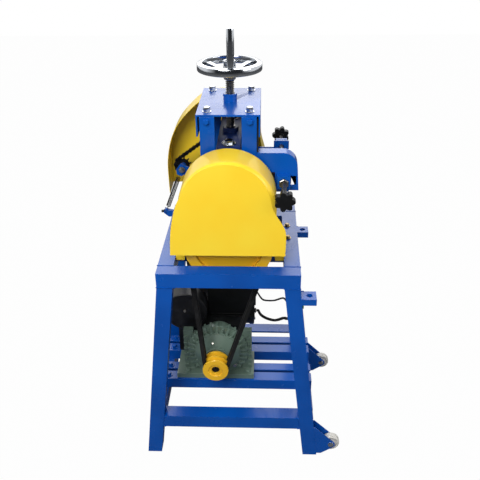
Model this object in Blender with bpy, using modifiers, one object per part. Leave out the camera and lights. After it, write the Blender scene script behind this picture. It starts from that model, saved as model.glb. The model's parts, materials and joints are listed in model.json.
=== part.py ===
# Cable stripping machine: a splayed tube stand, a motor with a reducer below,
# a tower with a lower feed shaft and a blade shaft that a handwheel lifts.
# Metres, +Z up. X runs along the cable, Y from the belt side to the chain side.
import math

import bmesh
import bpy
from mathutils import Matrix, Vector

# Clearances and plate stock
GAP = 0.0003
RUNNING = 0.0006
PLATE = 0.004
TUBE = 0.040
TUBE_WALL = 0.003
ANGLE = 0.036
ANGLE_WALL = 0.004

# Stand
FRAME_WIDTH = 0.358
FRAME_DEPTH = 0.391
FRAME_TOP = 0.616
LEG_SPREAD = 0.067
LOW_RAIL_TOP = 0.142
BED_TOP = 0.176
BED_NEAR_Y = 0.1165
BED_BACK = 0.144
BED_FAR_Y = FRAME_DEPTH - BED_BACK
BED_SLOT = 0.011
BED_BAR = 0.030

# Tower
TOWER_WIDTH = 0.136
TOWER_NEAR = 0.128
TOWER_BACK = 0.030
TOWER_DEPTH = FRAME_DEPTH - TOWER_NEAR - TOWER_BACK
TOWER_FAR = TOWER_NEAR + TOWER_DEPTH
TOWER_TOP = 0.977
CAP_WIDTH = 0.153
CAP_PLATE = 0.005
CAP_FLANGE = 0.054
BOSS_RADIUS = 0.017
BOSS_HEIGHT = 0.019

# Lifting screw and handwheel
SCREW_RADIUS = 0.011
WHEEL_TOP = 1.0736
WHEEL_RADIUS = 0.080
RIM_RADIUS = 0.010
HUB_RADIUS = 0.017
HUB_HEIGHT = 0.046
HUB_RISE = 0.003
SPOKE_COUNT = 3
CRANK_ANGLE = 275.0
CRANK_RADIUS = 0.009
CRANK_LENGTH = 0.091
SPINDLE_RADIUS = 0.004

# Blade carriage
CARRIAGE_HALF = 0.029
BEAM_TOP = 0.900
BEAM_HEIGHT = 0.022
BLOCK_DEPTH = 0.030
BLOCK_DROP = 0.040

# Shafts
FEED_Z = 0.671
FEED_SHAFT_RADIUS = 0.015
FEED_WHEEL_RADIUS = 0.110
FEED_WHEEL_WIDTH = 0.022
FEED_GROOVE = 0.006
BLADE_Z = 0.830
BLADE_SHAFT_RADIUS = 0.0125
BLADE_RADIUS = 0.043
BLADE_WIDTH = 0.003
SPACER_RADIUS = 0.022
LANE_PITCH = 0.042
LANES = 3

# Belt drive
PULLEY_NEAR = 0.050
GROOVES = 2
GROOVE_PITCH = 0.019
PULLEY_EDGE = 0.0125
BELT_WIDTH = 0.011
BELT_DEPTH = 0.010
BELT_INSET = 0.0015
BIG_PULLEY_RADIUS = 0.1135
MOTOR_PULLEY_RADIUS = 0.036
MOTOR_PULLEY_X = -0.044
MOTOR_PULLEY_Z = 0.2665

# Chain drive
CHAIN_PITCH = 0.0127
CHAIN_REACH = 0.041
CHAIN_Y = TOWER_FAR + CHAIN_REACH
CHAIN_HEIGHT = 0.011
CHAIN_PLATE = 0.002
CHAIN_INNER = 0.0078
SPROCKET_WIDTH = 0.006
BIG_TEETH = 19
SMALL_TEETH = 11
IDLER = (-0.149, 0.740)
GUIDE = (0.070, 0.655)
ARM_PIVOT = (-0.051, 0.720)
ARM_WIDTH = 0.024
ARM_THICK = 0.008
ARM_REACH = 0.011
ARM_Y = TOWER_FAR + ARM_REACH
SPRING_TOP = (-0.158, 0.7205)
SPRING_FOOT = (-0.2008, 0.6115)
SPRING_RADIUS = 0.0058
SPRING_WIRE = 0.0011
SPRING_CURLS = 28
CURL_POINTS = 9

# Guards
GUARD_SHEET = 0.0015
NEAR_GUARD_FRONT = 0.016
NEAR_GUARD_BACK = 0.113
NEAR_GUARD_FOOT = 0.660
FAR_GUARD_REACH = 0.025
FAR_GUARD_DEPTH = 0.086
FAR_GUARD_FRONT = TOWER_FAR + FAR_GUARD_REACH
FAR_GUARD_BACK = FAR_GUARD_FRONT + FAR_GUARD_DEPTH
FAR_GUARD_FOOT = 0.656

# Infeed
INFEED_RIGHT = 0.172
INFEED_TOP = 0.883
INFEED_FOOT = 0.785
INFEED_CORNER = 0.036
INFEED_FLANGE = 0.032
INFEED_FAR_TOP = 0.812
CLAMP_X = 0.1343
CLAMP_Z = 0.8135
CLAMP_BLOCK = 0.032
CLAMP_DEPTH = 0.020
STUD_RADIUS = 0.006
KNOB_RADIUS = 0.025
KNOB_LENGTH = 0.020
KNOB_REACH_NEAR = 0.122
KNOB_REACH_FAR = 0.092
KNOB_LOBES = 7
GUIDE_PLATE = 0.006
GUIDE_INSET_NEAR = 0.036
GUIDE_INSET_FAR = 0.066

# Motor and reducer
GEAR_RADIUS = 0.076
GEAR_NEAR = 0.150
GEAR_BACK = 0.165
GEAR_FAR = FRAME_DEPTH - GEAR_BACK
GEAR_WIDTH = 0.206
GEAR_FOOT = 0.016
NOSE_NEAR = 0.106
OUTPUT_RADIUS = 0.011
MOTOR_LEFT = -0.150
MOTOR_RIGHT = 0.0605
MOTOR_Z = 0.335
MOTOR_RADIUS = 0.0725

# Towing lugs and casters
LUG_SIZE = 0.038
LUG_THICK = 0.018
LUG_HOLE = 0.008
LUG_TOP = 0.545
CASTER_X = 0.2855
CASTER_Z = 0.040
CASTER_RADIUS = 0.025
CASTER_WIDTH = 0.020
CASTER_PLATE = 0.003

# Derived places
FRAME_HALF = FRAME_WIDTH / 2
LEG_TOP = FRAME_TOP - TUBE
TOWER_MID = TOWER_NEAR + TOWER_DEPTH / 2
TOWER_HALF = TOWER_WIDTH / 2
PULLEY_WIDTH = 2 * PULLEY_EDGE + (GROOVES - 1) * GROOVE_PITCH
KNOB_NEAR_FRONT = TOWER_NEAR - KNOB_REACH_NEAR - KNOB_LENGTH / 2
KNOB_FAR_FRONT = TOWER_FAR + KNOB_REACH_FAR + KNOB_LENGTH / 2
ORIGIN = Vector((
    (CASTER_X + CASTER_RADIUS - FRAME_HALF - LEG_SPREAD) / 2,
    (min(KNOB_NEAR_FRONT, 0.0) + max(KNOB_FAR_FRONT, FAR_GUARD_BACK)) / 2,
    0.0,
))


# Scene, collections and materials
for old in list(bpy.data.objects):
    bpy.data.objects.remove(old, do_unlink=True)

machine = bpy.data.collections.new("cable_stripping_machine")
bpy.context.scene.collection.children.link(machine)
cutters = bpy.data.collections.new("cutters")
bpy.context.scene.collection.children.link(cutters)


def linear(value):
    """One sRGB channel as a linear value."""
    if value <= 0.04045:
        return value / 12.92
    return ((value + 0.055) / 1.055) ** 2.4


def material(name, code, roughness, metallic=0.0):
    """A plain surface with its colour given as an sRGB hex code."""
    made = bpy.data.materials.new(name)
    made.use_nodes = True
    shader = made.node_tree.nodes["Principled BSDF"]
    rgb = [linear(int(code[i:i + 2], 16) / 255) for i in (0, 2, 4)]
    shader.inputs["Base Color"].default_value = (*rgb, 1.0)
    shader.inputs["Roughness"].default_value = roughness
    shader.inputs["Metallic"].default_value = metallic
    return made


BLUE = material("blue_paint", "2A5CB5", 0.3)
YELLOW = material("yellow_paint", "FFD93A", 0.35)
PULLEY_YELLOW = material("pulley_yellow", "F2C533", 0.4)
GREY_GREEN = material("grey_green_paint", "5F7566", 0.5)
BLACK = material("black_plastic", "1A1A1C", 0.45)
BLACK_RUBBER = material("black_rubber", "161616", 0.8)
CREAM = material("cream_tread", "D8D4C8", 0.6)
CHROME = material("chrome", "D9DBDE", 0.12, 1.0)
STEEL = material("bright_steel", "A9ACB0", 0.35, 1.0)
TOOL_STEEL = material("tool_steel", "8E9196", 0.3, 1.0)
DARK_STEEL = material("dark_steel", "2B2C2E", 0.5, 0.8)
RED = material("red_button", "B3261E", 0.4)
GREEN = material("green_button", "1F8A3B", 0.4)


# Object helpers: every place is given in the stand's own coordinates
def pivot(name, place, parent=None):
    """An empty on a joint's axis that carries a moving group."""
    empty = bpy.data.objects.new(name, None)
    machine.objects.link(empty)
    set_place(empty, place, parent)
    return empty


def set_place(obj, place, parent):
    """Put an object at a place of the stand, under a parent or free."""
    obj["place"] = list(place)
    if parent is None:
        obj.location = Vector(place) - ORIGIN
        return
    obj.parent = parent
    obj.location = Vector(place) - Vector(parent["place"])


def finish(name, bm, surface, place, parent=None, turn=None, smooth=False):
    """Turn a bmesh into a named object of the machine."""
    bmesh.ops.recalc_face_normals(bm, faces=bm.faces)
    mesh = bpy.data.meshes.new(name)
    bm.to_mesh(mesh)
    bm.free()
    return add_mesh(name, mesh, surface, place, parent, turn, smooth)


def add_mesh(name, mesh, surface, place, parent=None, turn=None, smooth=False):
    """Link a mesh as a named object of the machine."""
    if smooth:
        mesh.shade_smooth()
        mesh.set_sharp_from_angle(angle=math.radians(35))
    obj = bpy.data.objects.new(name, mesh)
    obj.data.materials.append(surface)
    machine.objects.link(obj)
    set_place(obj, place, parent)
    if turn is not None:
        obj.rotation_euler = turn
    return obj


FACING_NEAR = (math.pi / 2, 0.0, 0.0)
ROUND = 32
SMALL_ROUND = 16
SHAFT_SIDES = 20
WELD = 0.000005


def cube_into(bm, size, centre=(0, 0, 0)):
    """Add a box to a bmesh."""
    shape = Matrix.Translation(centre) @ Matrix.Diagonal((*size, 1.0))
    bmesh.ops.create_cube(bm, size=1.0, matrix=shape)


def rod_into(bm, radius, length, centre=(0, 0, 0), axis="Z", sides=SMALL_ROUND, end_radius=None, phase=0.0):
    """Add a round or hexagonal bar, centred, to a bmesh."""
    turns = {
        "Z": Matrix.Identity(4),
        "X": Matrix.Rotation(math.pi / 2, 4, "Y"),
        "Y": Matrix.Rotation(-math.pi / 2, 4, "X"),
    }
    spin = Matrix.Rotation(phase, 4, "Z")
    tip = radius if end_radius is None else end_radius
    bmesh.ops.create_cone(
        bm, cap_ends=True, segments=sides, radius1=radius, radius2=tip, depth=length,
        matrix=Matrix.Translation(centre) @ turns[axis] @ spin,
    )


def box(name, size, place, surface, parent=None, bevel=0.0):
    """A box centred on its place, with its edges broken if asked."""
    bm = bmesh.new()
    cube_into(bm, size)
    obj = finish(name, bm, surface, place, parent)
    if bevel:
        edge = obj.modifiers.new("edges", "BEVEL")
        edge.width = bevel
        edge.segments = 1
        edge.limit_method = "ANGLE"
    return obj


def rod(name, radius, length, place, axis, surface, parent=None, sides=ROUND):
    """A round bar centred on its place."""
    bm = bmesh.new()
    rod_into(bm, radius, length, axis=axis, sides=sides)
    return finish(name, bm, surface, place, parent, smooth=True)


def cutter_rod(radius, length, place, axis, sides=ROUND):
    """A round bar that only cuts."""
    bm = bmesh.new()
    rod_into(bm, radius, length, axis=axis, sides=sides)
    return as_cutter(finish("cutter", bm, DARK_STEEL, place))


def as_cutter(obj):
    """Move an object to the cutters and hide it from the render."""
    machine.objects.unlink(obj)
    cutters.objects.link(obj)
    obj.hide_render = True
    obj.display_type = "WIRE"
    return obj


def boolean(obj, other, operation="DIFFERENCE"):
    """Cut or join one object with another."""
    step = obj.modifiers.new(operation.lower(), "BOOLEAN")
    step.operation = operation
    step.object = other
    step.solver = obj.get("solver", "EXACT")
    return obj


def union(obj, *others):
    """Join solids that touch into one body."""
    for other in others:
        boolean(obj, as_cutter(other), "UNION")
    return obj


def turned(name, profile, place, surface, parent=None, turn=None, steps=ROUND, closed=False):
    """A turned piece: its profile is radius and height, from top to bottom."""
    bm = bmesh.new()
    points = [bm.verts.new((radius, 0.0, height)) for radius, height in profile]
    for first, second in zip(points, points[1:]):
        bm.edges.new((first, second))
    if closed:
        bm.edges.new((points[-1], points[0]))
    mesh = bpy.data.meshes.new(name)
    bm.to_mesh(mesh)
    bm.free()
    obj = add_mesh(name, mesh, surface, place, parent, turn)
    screw = obj.modifiers.new("turn", "SCREW")
    screw.steps = steps
    screw.render_steps = steps
    screw.use_merge_vertices = True
    screw.merge_threshold = 0.00001
    screw.use_smooth_shade = True
    return obj


def outline_mesh(name, loops, thickness):
    """A flat piece from closed outlines in X and Z, centred through its thickness."""
    curve = bpy.data.curves.new(name, "CURVE")
    curve.dimensions = "2D"
    curve.fill_mode = "BOTH"
    curve.extrude = thickness / 2
    for loop in loops:
        spline = curve.splines.new("POLY")
        spline.points.add(len(loop) - 1)
        for point, (x, z) in zip(spline.points, loop):
            point.co = (x, z, 0.0, 1.0)
        spline.use_cyclic_u = True
    temporary = bpy.data.objects.new(name, curve)
    bpy.context.scene.collection.objects.link(temporary)
    graph = bpy.context.evaluated_depsgraph_get()
    mesh = bpy.data.meshes.new_from_object(temporary.evaluated_get(graph))
    bpy.data.objects.remove(temporary, do_unlink=True)
    bpy.data.curves.remove(curve)
    bm = bmesh.new()
    bm.from_mesh(mesh)
    bpy.data.meshes.remove(mesh)
    bmesh.ops.remove_doubles(bm, verts=bm.verts, dist=WELD)
    bmesh.ops.rotate(bm, verts=bm.verts, matrix=Matrix.Rotation(math.pi / 2, 3, "X"))
    return bm


def flat(name, loops, thickness, place, surface, parent=None, smooth=False):
    """A flat plate that stands in the XZ plane."""
    bm = outline_mesh(name, loops, thickness)
    return finish(name, bm, surface, place, parent, smooth=smooth)


def arc(centre, radius, start, end, count):
    """Points of an arc, angles in degrees."""
    points = []
    for index in range(count + 1):
        angle = math.radians(start + (end - start) * index / count)
        points.append((centre[0] + radius * math.cos(angle), centre[1] + radius * math.sin(angle)))
    return points


def smooth_line(points, steps):
    """Points of a smooth line through a few points."""
    line = []
    padded = [points[0]] + list(points) + [points[-1]]
    for before, start, end, after in zip(padded, padded[1:], padded[2:], padded[3:]):
        for step in range(steps):
            t = step / steps
            line.append(tuple(
                0.5 * (2 * b + (c - a) * t + (2 * a - 5 * b + 4 * c - d) * t * t
                       + (3 * b - a - 3 * c + d) * t * t * t)
                for a, b, c, d in zip(before, start, end, after)
            ))
    line.append(tuple(points[-1]))
    return line


def loop_around(wheels, offset, count):
    """A closed line round wheels (x, z, radius, side), offset outward.

    Side is 1 where the line keeps the wheel inside and -1 where it passes outside.
    """
    contacts = []
    total = len(wheels)
    for index in range(total):
        x1, z1, r1, s1 = wheels[index]
        x2, z2, r2, s2 = wheels[(index + 1) % total]
        first = s1 * (r1 + s1 * offset)
        second = s2 * (r2 + s2 * offset)
        heading = math.atan2(z2 - z1, x2 - x1)
        distance = math.hypot(x2 - x1, z2 - z1)
        normal = heading + math.acos((first - second) / distance)
        contacts.append(normal)
    points = []
    for index in range(total):
        x, z, radius, side = wheels[index]
        reach = side * (radius + side * offset)
        start = contacts[index - 1]
        end = contacts[index]
        sweep = (start - end) % (2 * math.pi)
        if side < 0:
            sweep = sweep - 2 * math.pi
        for step in range(count + 1):
            angle = start - sweep * step / count
            points.append((x + reach * math.cos(angle), z + reach * math.sin(angle)))
    return points


def leg_outer(z):
    """Outer X of a leg at a height."""
    return FRAME_HALF + LEG_SPREAD * (LEG_TOP - z) / LEG_TOP


def leg_inner(z):
    """Inner X of a leg at a height."""
    return leg_outer(z) - TUBE


def bar(name, size, place, adjust=None):
    """A square bar whose corners a function may move."""
    bm = bmesh.new()
    cube_into(bm, size, place)
    if adjust is not None:
        for vert in bm.verts:
            adjust(vert.co)
    bmesh.ops.translate(bm, verts=bm.verts, vec=-Vector(place))
    return finish(name, bm, BLUE, place)


# Stand: a welded frame of square tube, hollow and open at its feet
LAP = 0.001


def lean_leg(side, wall):
    """A function that leans the sides of a leg, inset by a wall."""
    def lean(co):
        edge = leg_outer(co.z) - wall if co.x > 0.0 else leg_inner(co.z) + wall
        co.x = side * edge
    return lean


def stand_bars(wall):
    """The bars of the stand, or their hollow when a wall is given."""
    tube = TUBE - 2 * wall
    foot = -LAP if wall else 0.0
    leg_end = LEG_TOP + wall + LAP
    bars = []
    for middle_y in (TUBE / 2, FRAME_DEPTH - TUBE / 2):
        for side in (-1, 1):
            height = leg_end - foot
            place = (0, middle_y, foot + height / 2)
            bars.append(bar("leg", (TUBE, tube, height), place, lean_leg(side, wall)))
        place = (0, middle_y, FRAME_TOP - TUBE / 2)
        bars.append(bar("top_rail", (FRAME_WIDTH - 2 * wall, tube, tube), place))
    for side in (-1, 1):
        place = (side * (FRAME_HALF - TUBE / 2), FRAME_DEPTH / 2, FRAME_TOP - TUBE / 2)
        bars.append(bar("side_rail", (tube, FRAME_DEPTH - TUBE, tube), place))
    for middle_y in (CROSS_NEAR_Y, CROSS_FAR_Y):
        place = (0, middle_y, FRAME_TOP - TUBE / 2)
        bars.append(bar("cross_rail", (FRAME_WIDTH - TUBE, tube, tube), place))
    return bars


CROSS_NEAR_Y = TOWER_NEAR + TUBE / 2
CROSS_FAR_Y = TOWER_FAR - TUBE / 2
LOW_MIDDLE = LOW_RAIL_TOP - TUBE / 2
LOW_RAIL_X = leg_outer(LOW_MIDDLE) - TUBE / 2


def meet_legs(co):
    """Slant the ends of a cross rail into the legs."""
    co.x = math.copysign(leg_inner(co.z) + LAP, co.x)


def bed_outline(start, depth, flange_near):
    """End view of one bed bar: flat on top, its flange hanging down."""
    height = BED_TOP - LOW_RAIL_TOP - GAP
    end = start + depth
    wall = ANGLE_WALL
    if flange_near:
        return [(start, -height), (start + wall, -height), (start + wall, -wall),
                (end, -wall), (end, 0), (start, 0)]
    return [(start, -wall), (end - wall, -wall), (end - wall, -height), (end, -height),
            (end, 0), (start, 0)]


def angle_iron(name, loops, length, axis, place, adjust=None):
    """Angle iron: an outline extruded along X or Z."""
    bm = outline_mesh(name, loops, length)
    if axis == "Z":
        bmesh.ops.rotate(bm, verts=bm.verts, matrix=Matrix.Rotation(-math.pi / 2, 3, "X"))
    if axis == "X":
        bmesh.ops.rotate(bm, verts=bm.verts, matrix=Matrix.Rotation(math.pi / 2, 3, "Z"))
    if adjust is not None:
        for vert in bm.verts:
            world = vert.co + Vector(place)
            adjust(world)
            vert.co = world - Vector(place)
    return finish(name, bm, BLUE, place)


stand = stand_bars(0)
frame = stand[0]
frame.name = "stand_frame"
frame["solver"] = "MANIFOLD"
low_bars = [bar("low_rail", (TUBE, TUBE, TUBE), (0, TUBE / 2, LOW_MIDDLE), meet_legs)]
for side in (-1, 1):
    low_bars.append(bar(
        "low_rail", (TUBE, FRAME_DEPTH - 2 * TUBE + 2 * LAP, TUBE),
        (side * LOW_RAIL_X, FRAME_DEPTH / 2, LOW_MIDDLE),
    ))
low_bars.append(angle_iron(
    "low_rail", [bed_outline(0, TUBE, False)], 2 * FRAME_HALF, "X",
    (0, FRAME_DEPTH - TUBE, BED_TOP), adjust=meet_legs,
))
union(frame, *stand[1:], *low_bars)

# Towing lugs on the right legs
LUG_LEFT = leg_outer(LUG_TOP)
LUG_HOLE_X = LUG_LEFT + LUG_SIZE * 0.55
lug_holes = []
for near_y in (0.0, FRAME_DEPTH - LUG_SIZE):
    middle_y = near_y + LUG_SIZE / 2
    middle_z = LUG_TOP - LUG_THICK / 2
    middle_x = LUG_LEFT + (LUG_SIZE - LAP) / 2
    union(frame, bar("lug", (LUG_SIZE + LAP, LUG_SIZE, LUG_THICK), (middle_x, middle_y, middle_z)))
    lug_holes.append(cutter_rod(LUG_HOLE, 3 * LUG_THICK, (LUG_HOLE_X, middle_y, middle_z), "Z", 20))

# Caster forks beside the right feet, with their axles
FORK_TOP = 0.105
FORK_FOOT = 0.006
FORK_SLACK = 0.0025
FORK_NOSE = 0.012
FORK_EDGE = 0.001
AXLE_RADIUS = 0.004
AXLE_PROUD = 0.002
FORK_DEPTH = 2 * (CASTER_PLATE + FORK_SLACK) + CASTER_WIDTH
CASTER_Y = [FORK_EDGE + FORK_DEPTH / 2, FRAME_DEPTH - FORK_EDGE - FORK_DEPTH / 2]
fork_outline = [(leg_outer(FORK_FOOT) - LAP, FORK_FOOT), (0.258, FORK_FOOT)]
fork_outline += arc((CASTER_X, CASTER_Z), FORK_NOSE, -50, 50, 5)
fork_outline += [(leg_outer(FORK_TOP) + 0.004, FORK_TOP), (leg_outer(FORK_TOP) - LAP, FORK_TOP)]
for middle in CASTER_Y:
    for side in (-1, 1):
        plate_y = middle + side * (FORK_DEPTH - CASTER_PLATE) / 2
        union(frame, flat("fork", [fork_outline], CASTER_PLATE, (0, plate_y, 0), BLUE))
    axle = FORK_DEPTH + 2 * AXLE_PROUD
    place = (CASTER_X, middle, CASTER_Z)
    union(frame, rod("axle", AXLE_RADIUS, axle, place, "Y", CHROME, None, SMALL_ROUND))

# Arms that carry the far guard
SUPPORT_X = (-0.110, 0.040)
SUPPORT_WIDTH = 0.020
SUPPORT_TOP = FRAME_TOP - 0.004
SUPPORT_HEIGHT = 0.016
UPSTAND = 0.084
SUPPORT_FAR = FAR_GUARD_BACK - GUARD_SHEET - GAP
for x in SUPPORT_X:
    run = SUPPORT_FAR - FRAME_DEPTH + LAP
    union(
        frame,
        bar("arm", (SUPPORT_WIDTH, run, SUPPORT_HEIGHT),
            (x, SUPPORT_FAR - run / 2, SUPPORT_TOP - SUPPORT_HEIGHT / 2)),
        bar("upstand", (SUPPORT_WIDTH, PLATE, UPSTAND),
            (x, SUPPORT_FAR - PLATE / 2, SUPPORT_TOP - SUPPORT_HEIGHT + UPSTAND / 2)),
    )


def pin_along_y(name, steps, place, surface, parent=None, sides=SMALL_ROUND):
    """A stepped pin along Y: its steps are radius, near end and far end."""
    profile = [(0, place[1] - steps[0][1])]
    for radius, near, far in steps:
        profile += [(radius, place[1] - near), (radius, place[1] - far)]
    profile.append((0, place[1] - steps[-1][2]))
    return turned(name, profile, place, surface, parent, FACING_NEAR, sides)


# Bracket and pin of the chain's guide sprocket
PIN_RADIUS = 0.005
PIN_SHOULDER = 0.009
PIN_HEAD = 0.004
SPROCKET_NEAR = CHAIN_Y - SPROCKET_WIDTH / 2
SPROCKET_FAR = CHAIN_Y + SPROCKET_WIDTH / 2
PIN_END = SPROCKET_FAR + GAP + PIN_HEAD
BRACKET_REACH = 0.021
BRACKET_NEAR = CHAIN_Y - BRACKET_REACH
BRACKET_WIDTH = 0.032
BRACKET_TOP = GUIDE[1] + 0.014
union(
    frame,
    bar("bracket", (BRACKET_WIDTH, PLATE, BRACKET_TOP - FRAME_TOP + LAP),
        (GUIDE[0], BRACKET_NEAR + PLATE / 2, (BRACKET_TOP + FRAME_TOP - LAP) / 2)),
    pin_along_y(
        "pin",
        [(PIN_SHOULDER, BRACKET_NEAR + LAP, SPROCKET_NEAR - GAP),
         (PIN_RADIUS, SPROCKET_NEAR - GAP, SPROCKET_FAR + GAP),
         (PIN_SHOULDER, SPROCKET_FAR + GAP, PIN_END)],
        (GUIDE[0], CHAIN_Y, GUIDE[1]), STEEL,
    ),
)

# Lug that holds the foot of the tensioner spring
spring_run = Vector((SPRING_FOOT[0] - SPRING_TOP[0], 0, SPRING_FOOT[1] - SPRING_TOP[1]))
spring_way = spring_run.normalized()
spring_side = Vector((-spring_way.z, 0, spring_way.x))
TAB_HALF = 0.007
SPRING_LUG = 0.012


def spring_face(point, gap):
    """Two corners of a face square to the spring at one of its ends."""
    centre = Vector((point[0], 0, point[1])) + spring_way * gap
    return [(centre + sign * spring_side * TAB_HALF) for sign in (-1, 1)]


lug_face = spring_face(SPRING_FOOT, GAP)
union(frame, flat(
    "spring_lug",
    [[(-FRAME_HALF + LAP, FRAME_TOP - 0.028), (-FRAME_HALF + LAP, FRAME_TOP - 0.011),
      (lug_face[1].x, lug_face[1].z), (lug_face[0].x, lug_face[0].z),
      (-FRAME_HALF - 0.032, FRAME_TOP - 0.016), (-FRAME_HALF - 0.018, FRAME_TOP - 0.028)]],
    SPRING_LUG, (0, ARM_Y, 0), BLUE,
))
for hollow in stand_bars(TUBE_WALL):
    boolean(frame, as_cutter(hollow))
for hole in lug_holes:
    boolean(frame, hole)

# Bed bars under the motor and reducer
BED_LENGTH = 2 * (LOW_RAIL_X + TUBE / 2)
for label, start_y in (("reducer", BED_NEAR_Y), ("motor", BED_FAR_Y)):
    place = (0, start_y, BED_TOP)
    angle_iron(f"{label}_bar_near", [bed_outline(0, ANGLE, True)], BED_LENGTH, "X", place)
    angle_iron(f"{label}_bar_far", [bed_outline(ANGLE + BED_SLOT, BED_BAR, False)], BED_LENGTH, "X", place)

# Tower posts
POST_HEIGHT = TOWER_TOP - CAP_PLATE - FRAME_TOP - 2 * GAP
POST_Z = FRAME_TOP + GAP + POST_HEIGHT / 2


def post_outline(side, facing):
    """Plan view of a post: the corner of the L is the tower's corner."""
    points = [(0, 0), (ANGLE, 0), (ANGLE, ANGLE_WALL), (ANGLE_WALL, ANGLE_WALL),
              (ANGLE_WALL, ANGLE), (0, ANGLE)]
    return [(-side * x, facing * y) for x, y in points]


for facing, depth_name, post_y in ((1, "near", TOWER_NEAR), (-1, "far", TOWER_FAR)):
    for side, side_name in ((-1, "left"), (1, "right")):
        angle_iron(
            f"post_{depth_name}_{side_name}", [post_outline(side, facing)], POST_HEIGHT, "Z",
            (side * TOWER_HALF, post_y, POST_Z),
        )

# Cap with folded sides, and the threaded boss on it
cap_half = CAP_WIDTH / 2
cap_outline = [
    (-cap_half, 0), (-cap_half, -CAP_FLANGE), (-cap_half + PLATE, -CAP_FLANGE),
    (-cap_half + PLATE, -CAP_PLATE), (cap_half - PLATE, -CAP_PLATE),
    (cap_half - PLATE, -CAP_FLANGE), (cap_half, -CAP_FLANGE), (cap_half, 0),
]
cap = flat("cap_plate", [cap_outline], TOWER_DEPTH, (0, TOWER_MID, TOWER_TOP), BLUE)
boss = turned(
    "screw_boss",
    [(0, BOSS_HEIGHT), (BOSS_RADIUS - 0.001, BOSS_HEIGHT), (BOSS_RADIUS, BOSS_HEIGHT - 0.001),
     (BOSS_RADIUS, -LAP), (0, -LAP)],
    (0, TOWER_MID, TOWER_TOP), BLUE,
)
union(cap, boss)
boolean(cap, cutter_rod(SCREW_RADIUS + RUNNING, 3 * BOSS_HEIGHT, (0, TOWER_MID, TOWER_TOP), "Z"))
FLAP_THICK = 0.003
FLAP_TOP = TOWER_TOP - CAP_PLATE - 0.006
FLAP_FOOT = INFEED_TOP + 0.0015
box(
    "infeed_flap", (FLAP_THICK, TOWER_DEPTH - 0.004, FLAP_TOP - FLAP_FOOT),
    (TOWER_HALF + 2 * GAP + FLAP_THICK / 2, TOWER_MID, (FLAP_TOP + FLAP_FOOT) / 2), BLACK_RUBBER,
)

# Blade carriage: it rides between the posts
lift = pivot("carriage_pivot", (0, TOWER_MID, BEAM_TOP))
COLLAR_BORE = SCREW_RADIUS + RUNNING
BEAM_DEPTH = TOWER_DEPTH - 0.002
beam = box(
    "carriage_beam", (2 * CARRIAGE_HALF, BEAM_DEPTH, BEAM_HEIGHT),
    (0, TOWER_MID, BEAM_TOP - BEAM_HEIGHT / 2), BLUE, lift,
)
COLLAR_RADIUS = 0.020
COLLAR_HEIGHT = 0.010
collar = turned(
    "screw_collar", [(0, COLLAR_HEIGHT), (COLLAR_RADIUS, COLLAR_HEIGHT), (COLLAR_RADIUS, -LAP), (0, -LAP)],
    (0, TOWER_MID, BEAM_TOP), BLUE, lift,
)
union(beam, collar)
SCREW_SEAT = 0.012
boolean(beam, cutter_rod(COLLAR_BORE, 2 * SCREW_SEAT, (0, TOWER_MID, BEAM_TOP), "Z"))
BLOCK_TOP = BEAM_TOP - BEAM_HEIGHT - GAP
BLOCK_FOOT = BLADE_Z - BLOCK_DROP
BLOCK_NEAR_Y = TOWER_NEAR + 0.001 + BLOCK_DEPTH / 2
BLOCK_FAR_Y = TOWER_FAR - 0.001 - BLOCK_DEPTH / 2
FEED_BLOCK_FOOT = FRAME_TOP + GAP
FEED_BLOCK_TOP = 2 * FEED_Z - FEED_BLOCK_FOOT
for label, middle in (("near", BLOCK_NEAR_Y), ("far", BLOCK_FAR_Y)):
    for name, parent, height, top, foot, bore in (
        ("blade_bearing_", lift, BLADE_Z, BLOCK_TOP, BLOCK_FOOT, BLADE_SHAFT_RADIUS + RUNNING),
        ("feed_bearing_", None, FEED_Z, FEED_BLOCK_TOP, FEED_BLOCK_FOOT, FEED_SHAFT_RADIUS + RUNNING),
    ):
        block = box(
            name + label, (2 * CARRIAGE_HALF, BLOCK_DEPTH, top - foot), (0, middle, (top + foot) / 2),
            DARK_STEEL, parent,
        )
        boolean(block, cutter_rod(bore, 2 * BLOCK_DEPTH, (0, middle, height), "Y"))

# Lifting screw, handwheel and crank handle
wheel_pivot = pivot("handwheel_pivot", (0, TOWER_MID, WHEEL_TOP), lift)
HUB_TOP = WHEEL_TOP + HUB_RISE
HUB_FOOT = HUB_TOP - HUB_HEIGHT
SCREW_FOOT = BEAM_TOP - SCREW_SEAT + GAP
SCREW_TOP = HUB_TOP - 0.003
rod(
    "lifting_screw", SCREW_RADIUS, SCREW_TOP - SCREW_FOOT,
    (0, TOWER_MID, (SCREW_TOP + SCREW_FOOT) / 2), "Z", STEEL, wheel_pivot,
)
RIM_MIDDLE = WHEEL_RADIUS - RIM_RADIUS
RIM_Z = WHEEL_TOP - RIM_RADIUS
rim_points = arc((RIM_MIDDLE, 0), RIM_RADIUS, 90, -234, 9)
rim = turned("handwheel", rim_points, (0, TOWER_MID, RIM_Z), CHROME, wheel_pivot, steps=40, closed=True)
hub_bore = SCREW_RADIUS + GAP
hub = turned(
    "hub",
    [(hub_bore, HUB_HEIGHT), (HUB_RADIUS - 0.003, HUB_HEIGHT), (HUB_RADIUS, HUB_HEIGHT - 0.003),
     (HUB_RADIUS, 0.003), (HUB_RADIUS - 0.003, 0), (hub_bore, 0)],
    (0, TOWER_MID, HUB_FOOT), CHROME, wheel_pivot, closed=True,
)
SPOKE_START = HUB_RADIUS - 0.002
SPOKE_END = RIM_MIDDLE - RIM_RADIUS + 0.004
SPOKE_DROP = 0.012
SPOKE_THICK = 0.009
SPOKE_WIDE = 0.020
SPOKE_NARROW = 0.014
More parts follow.
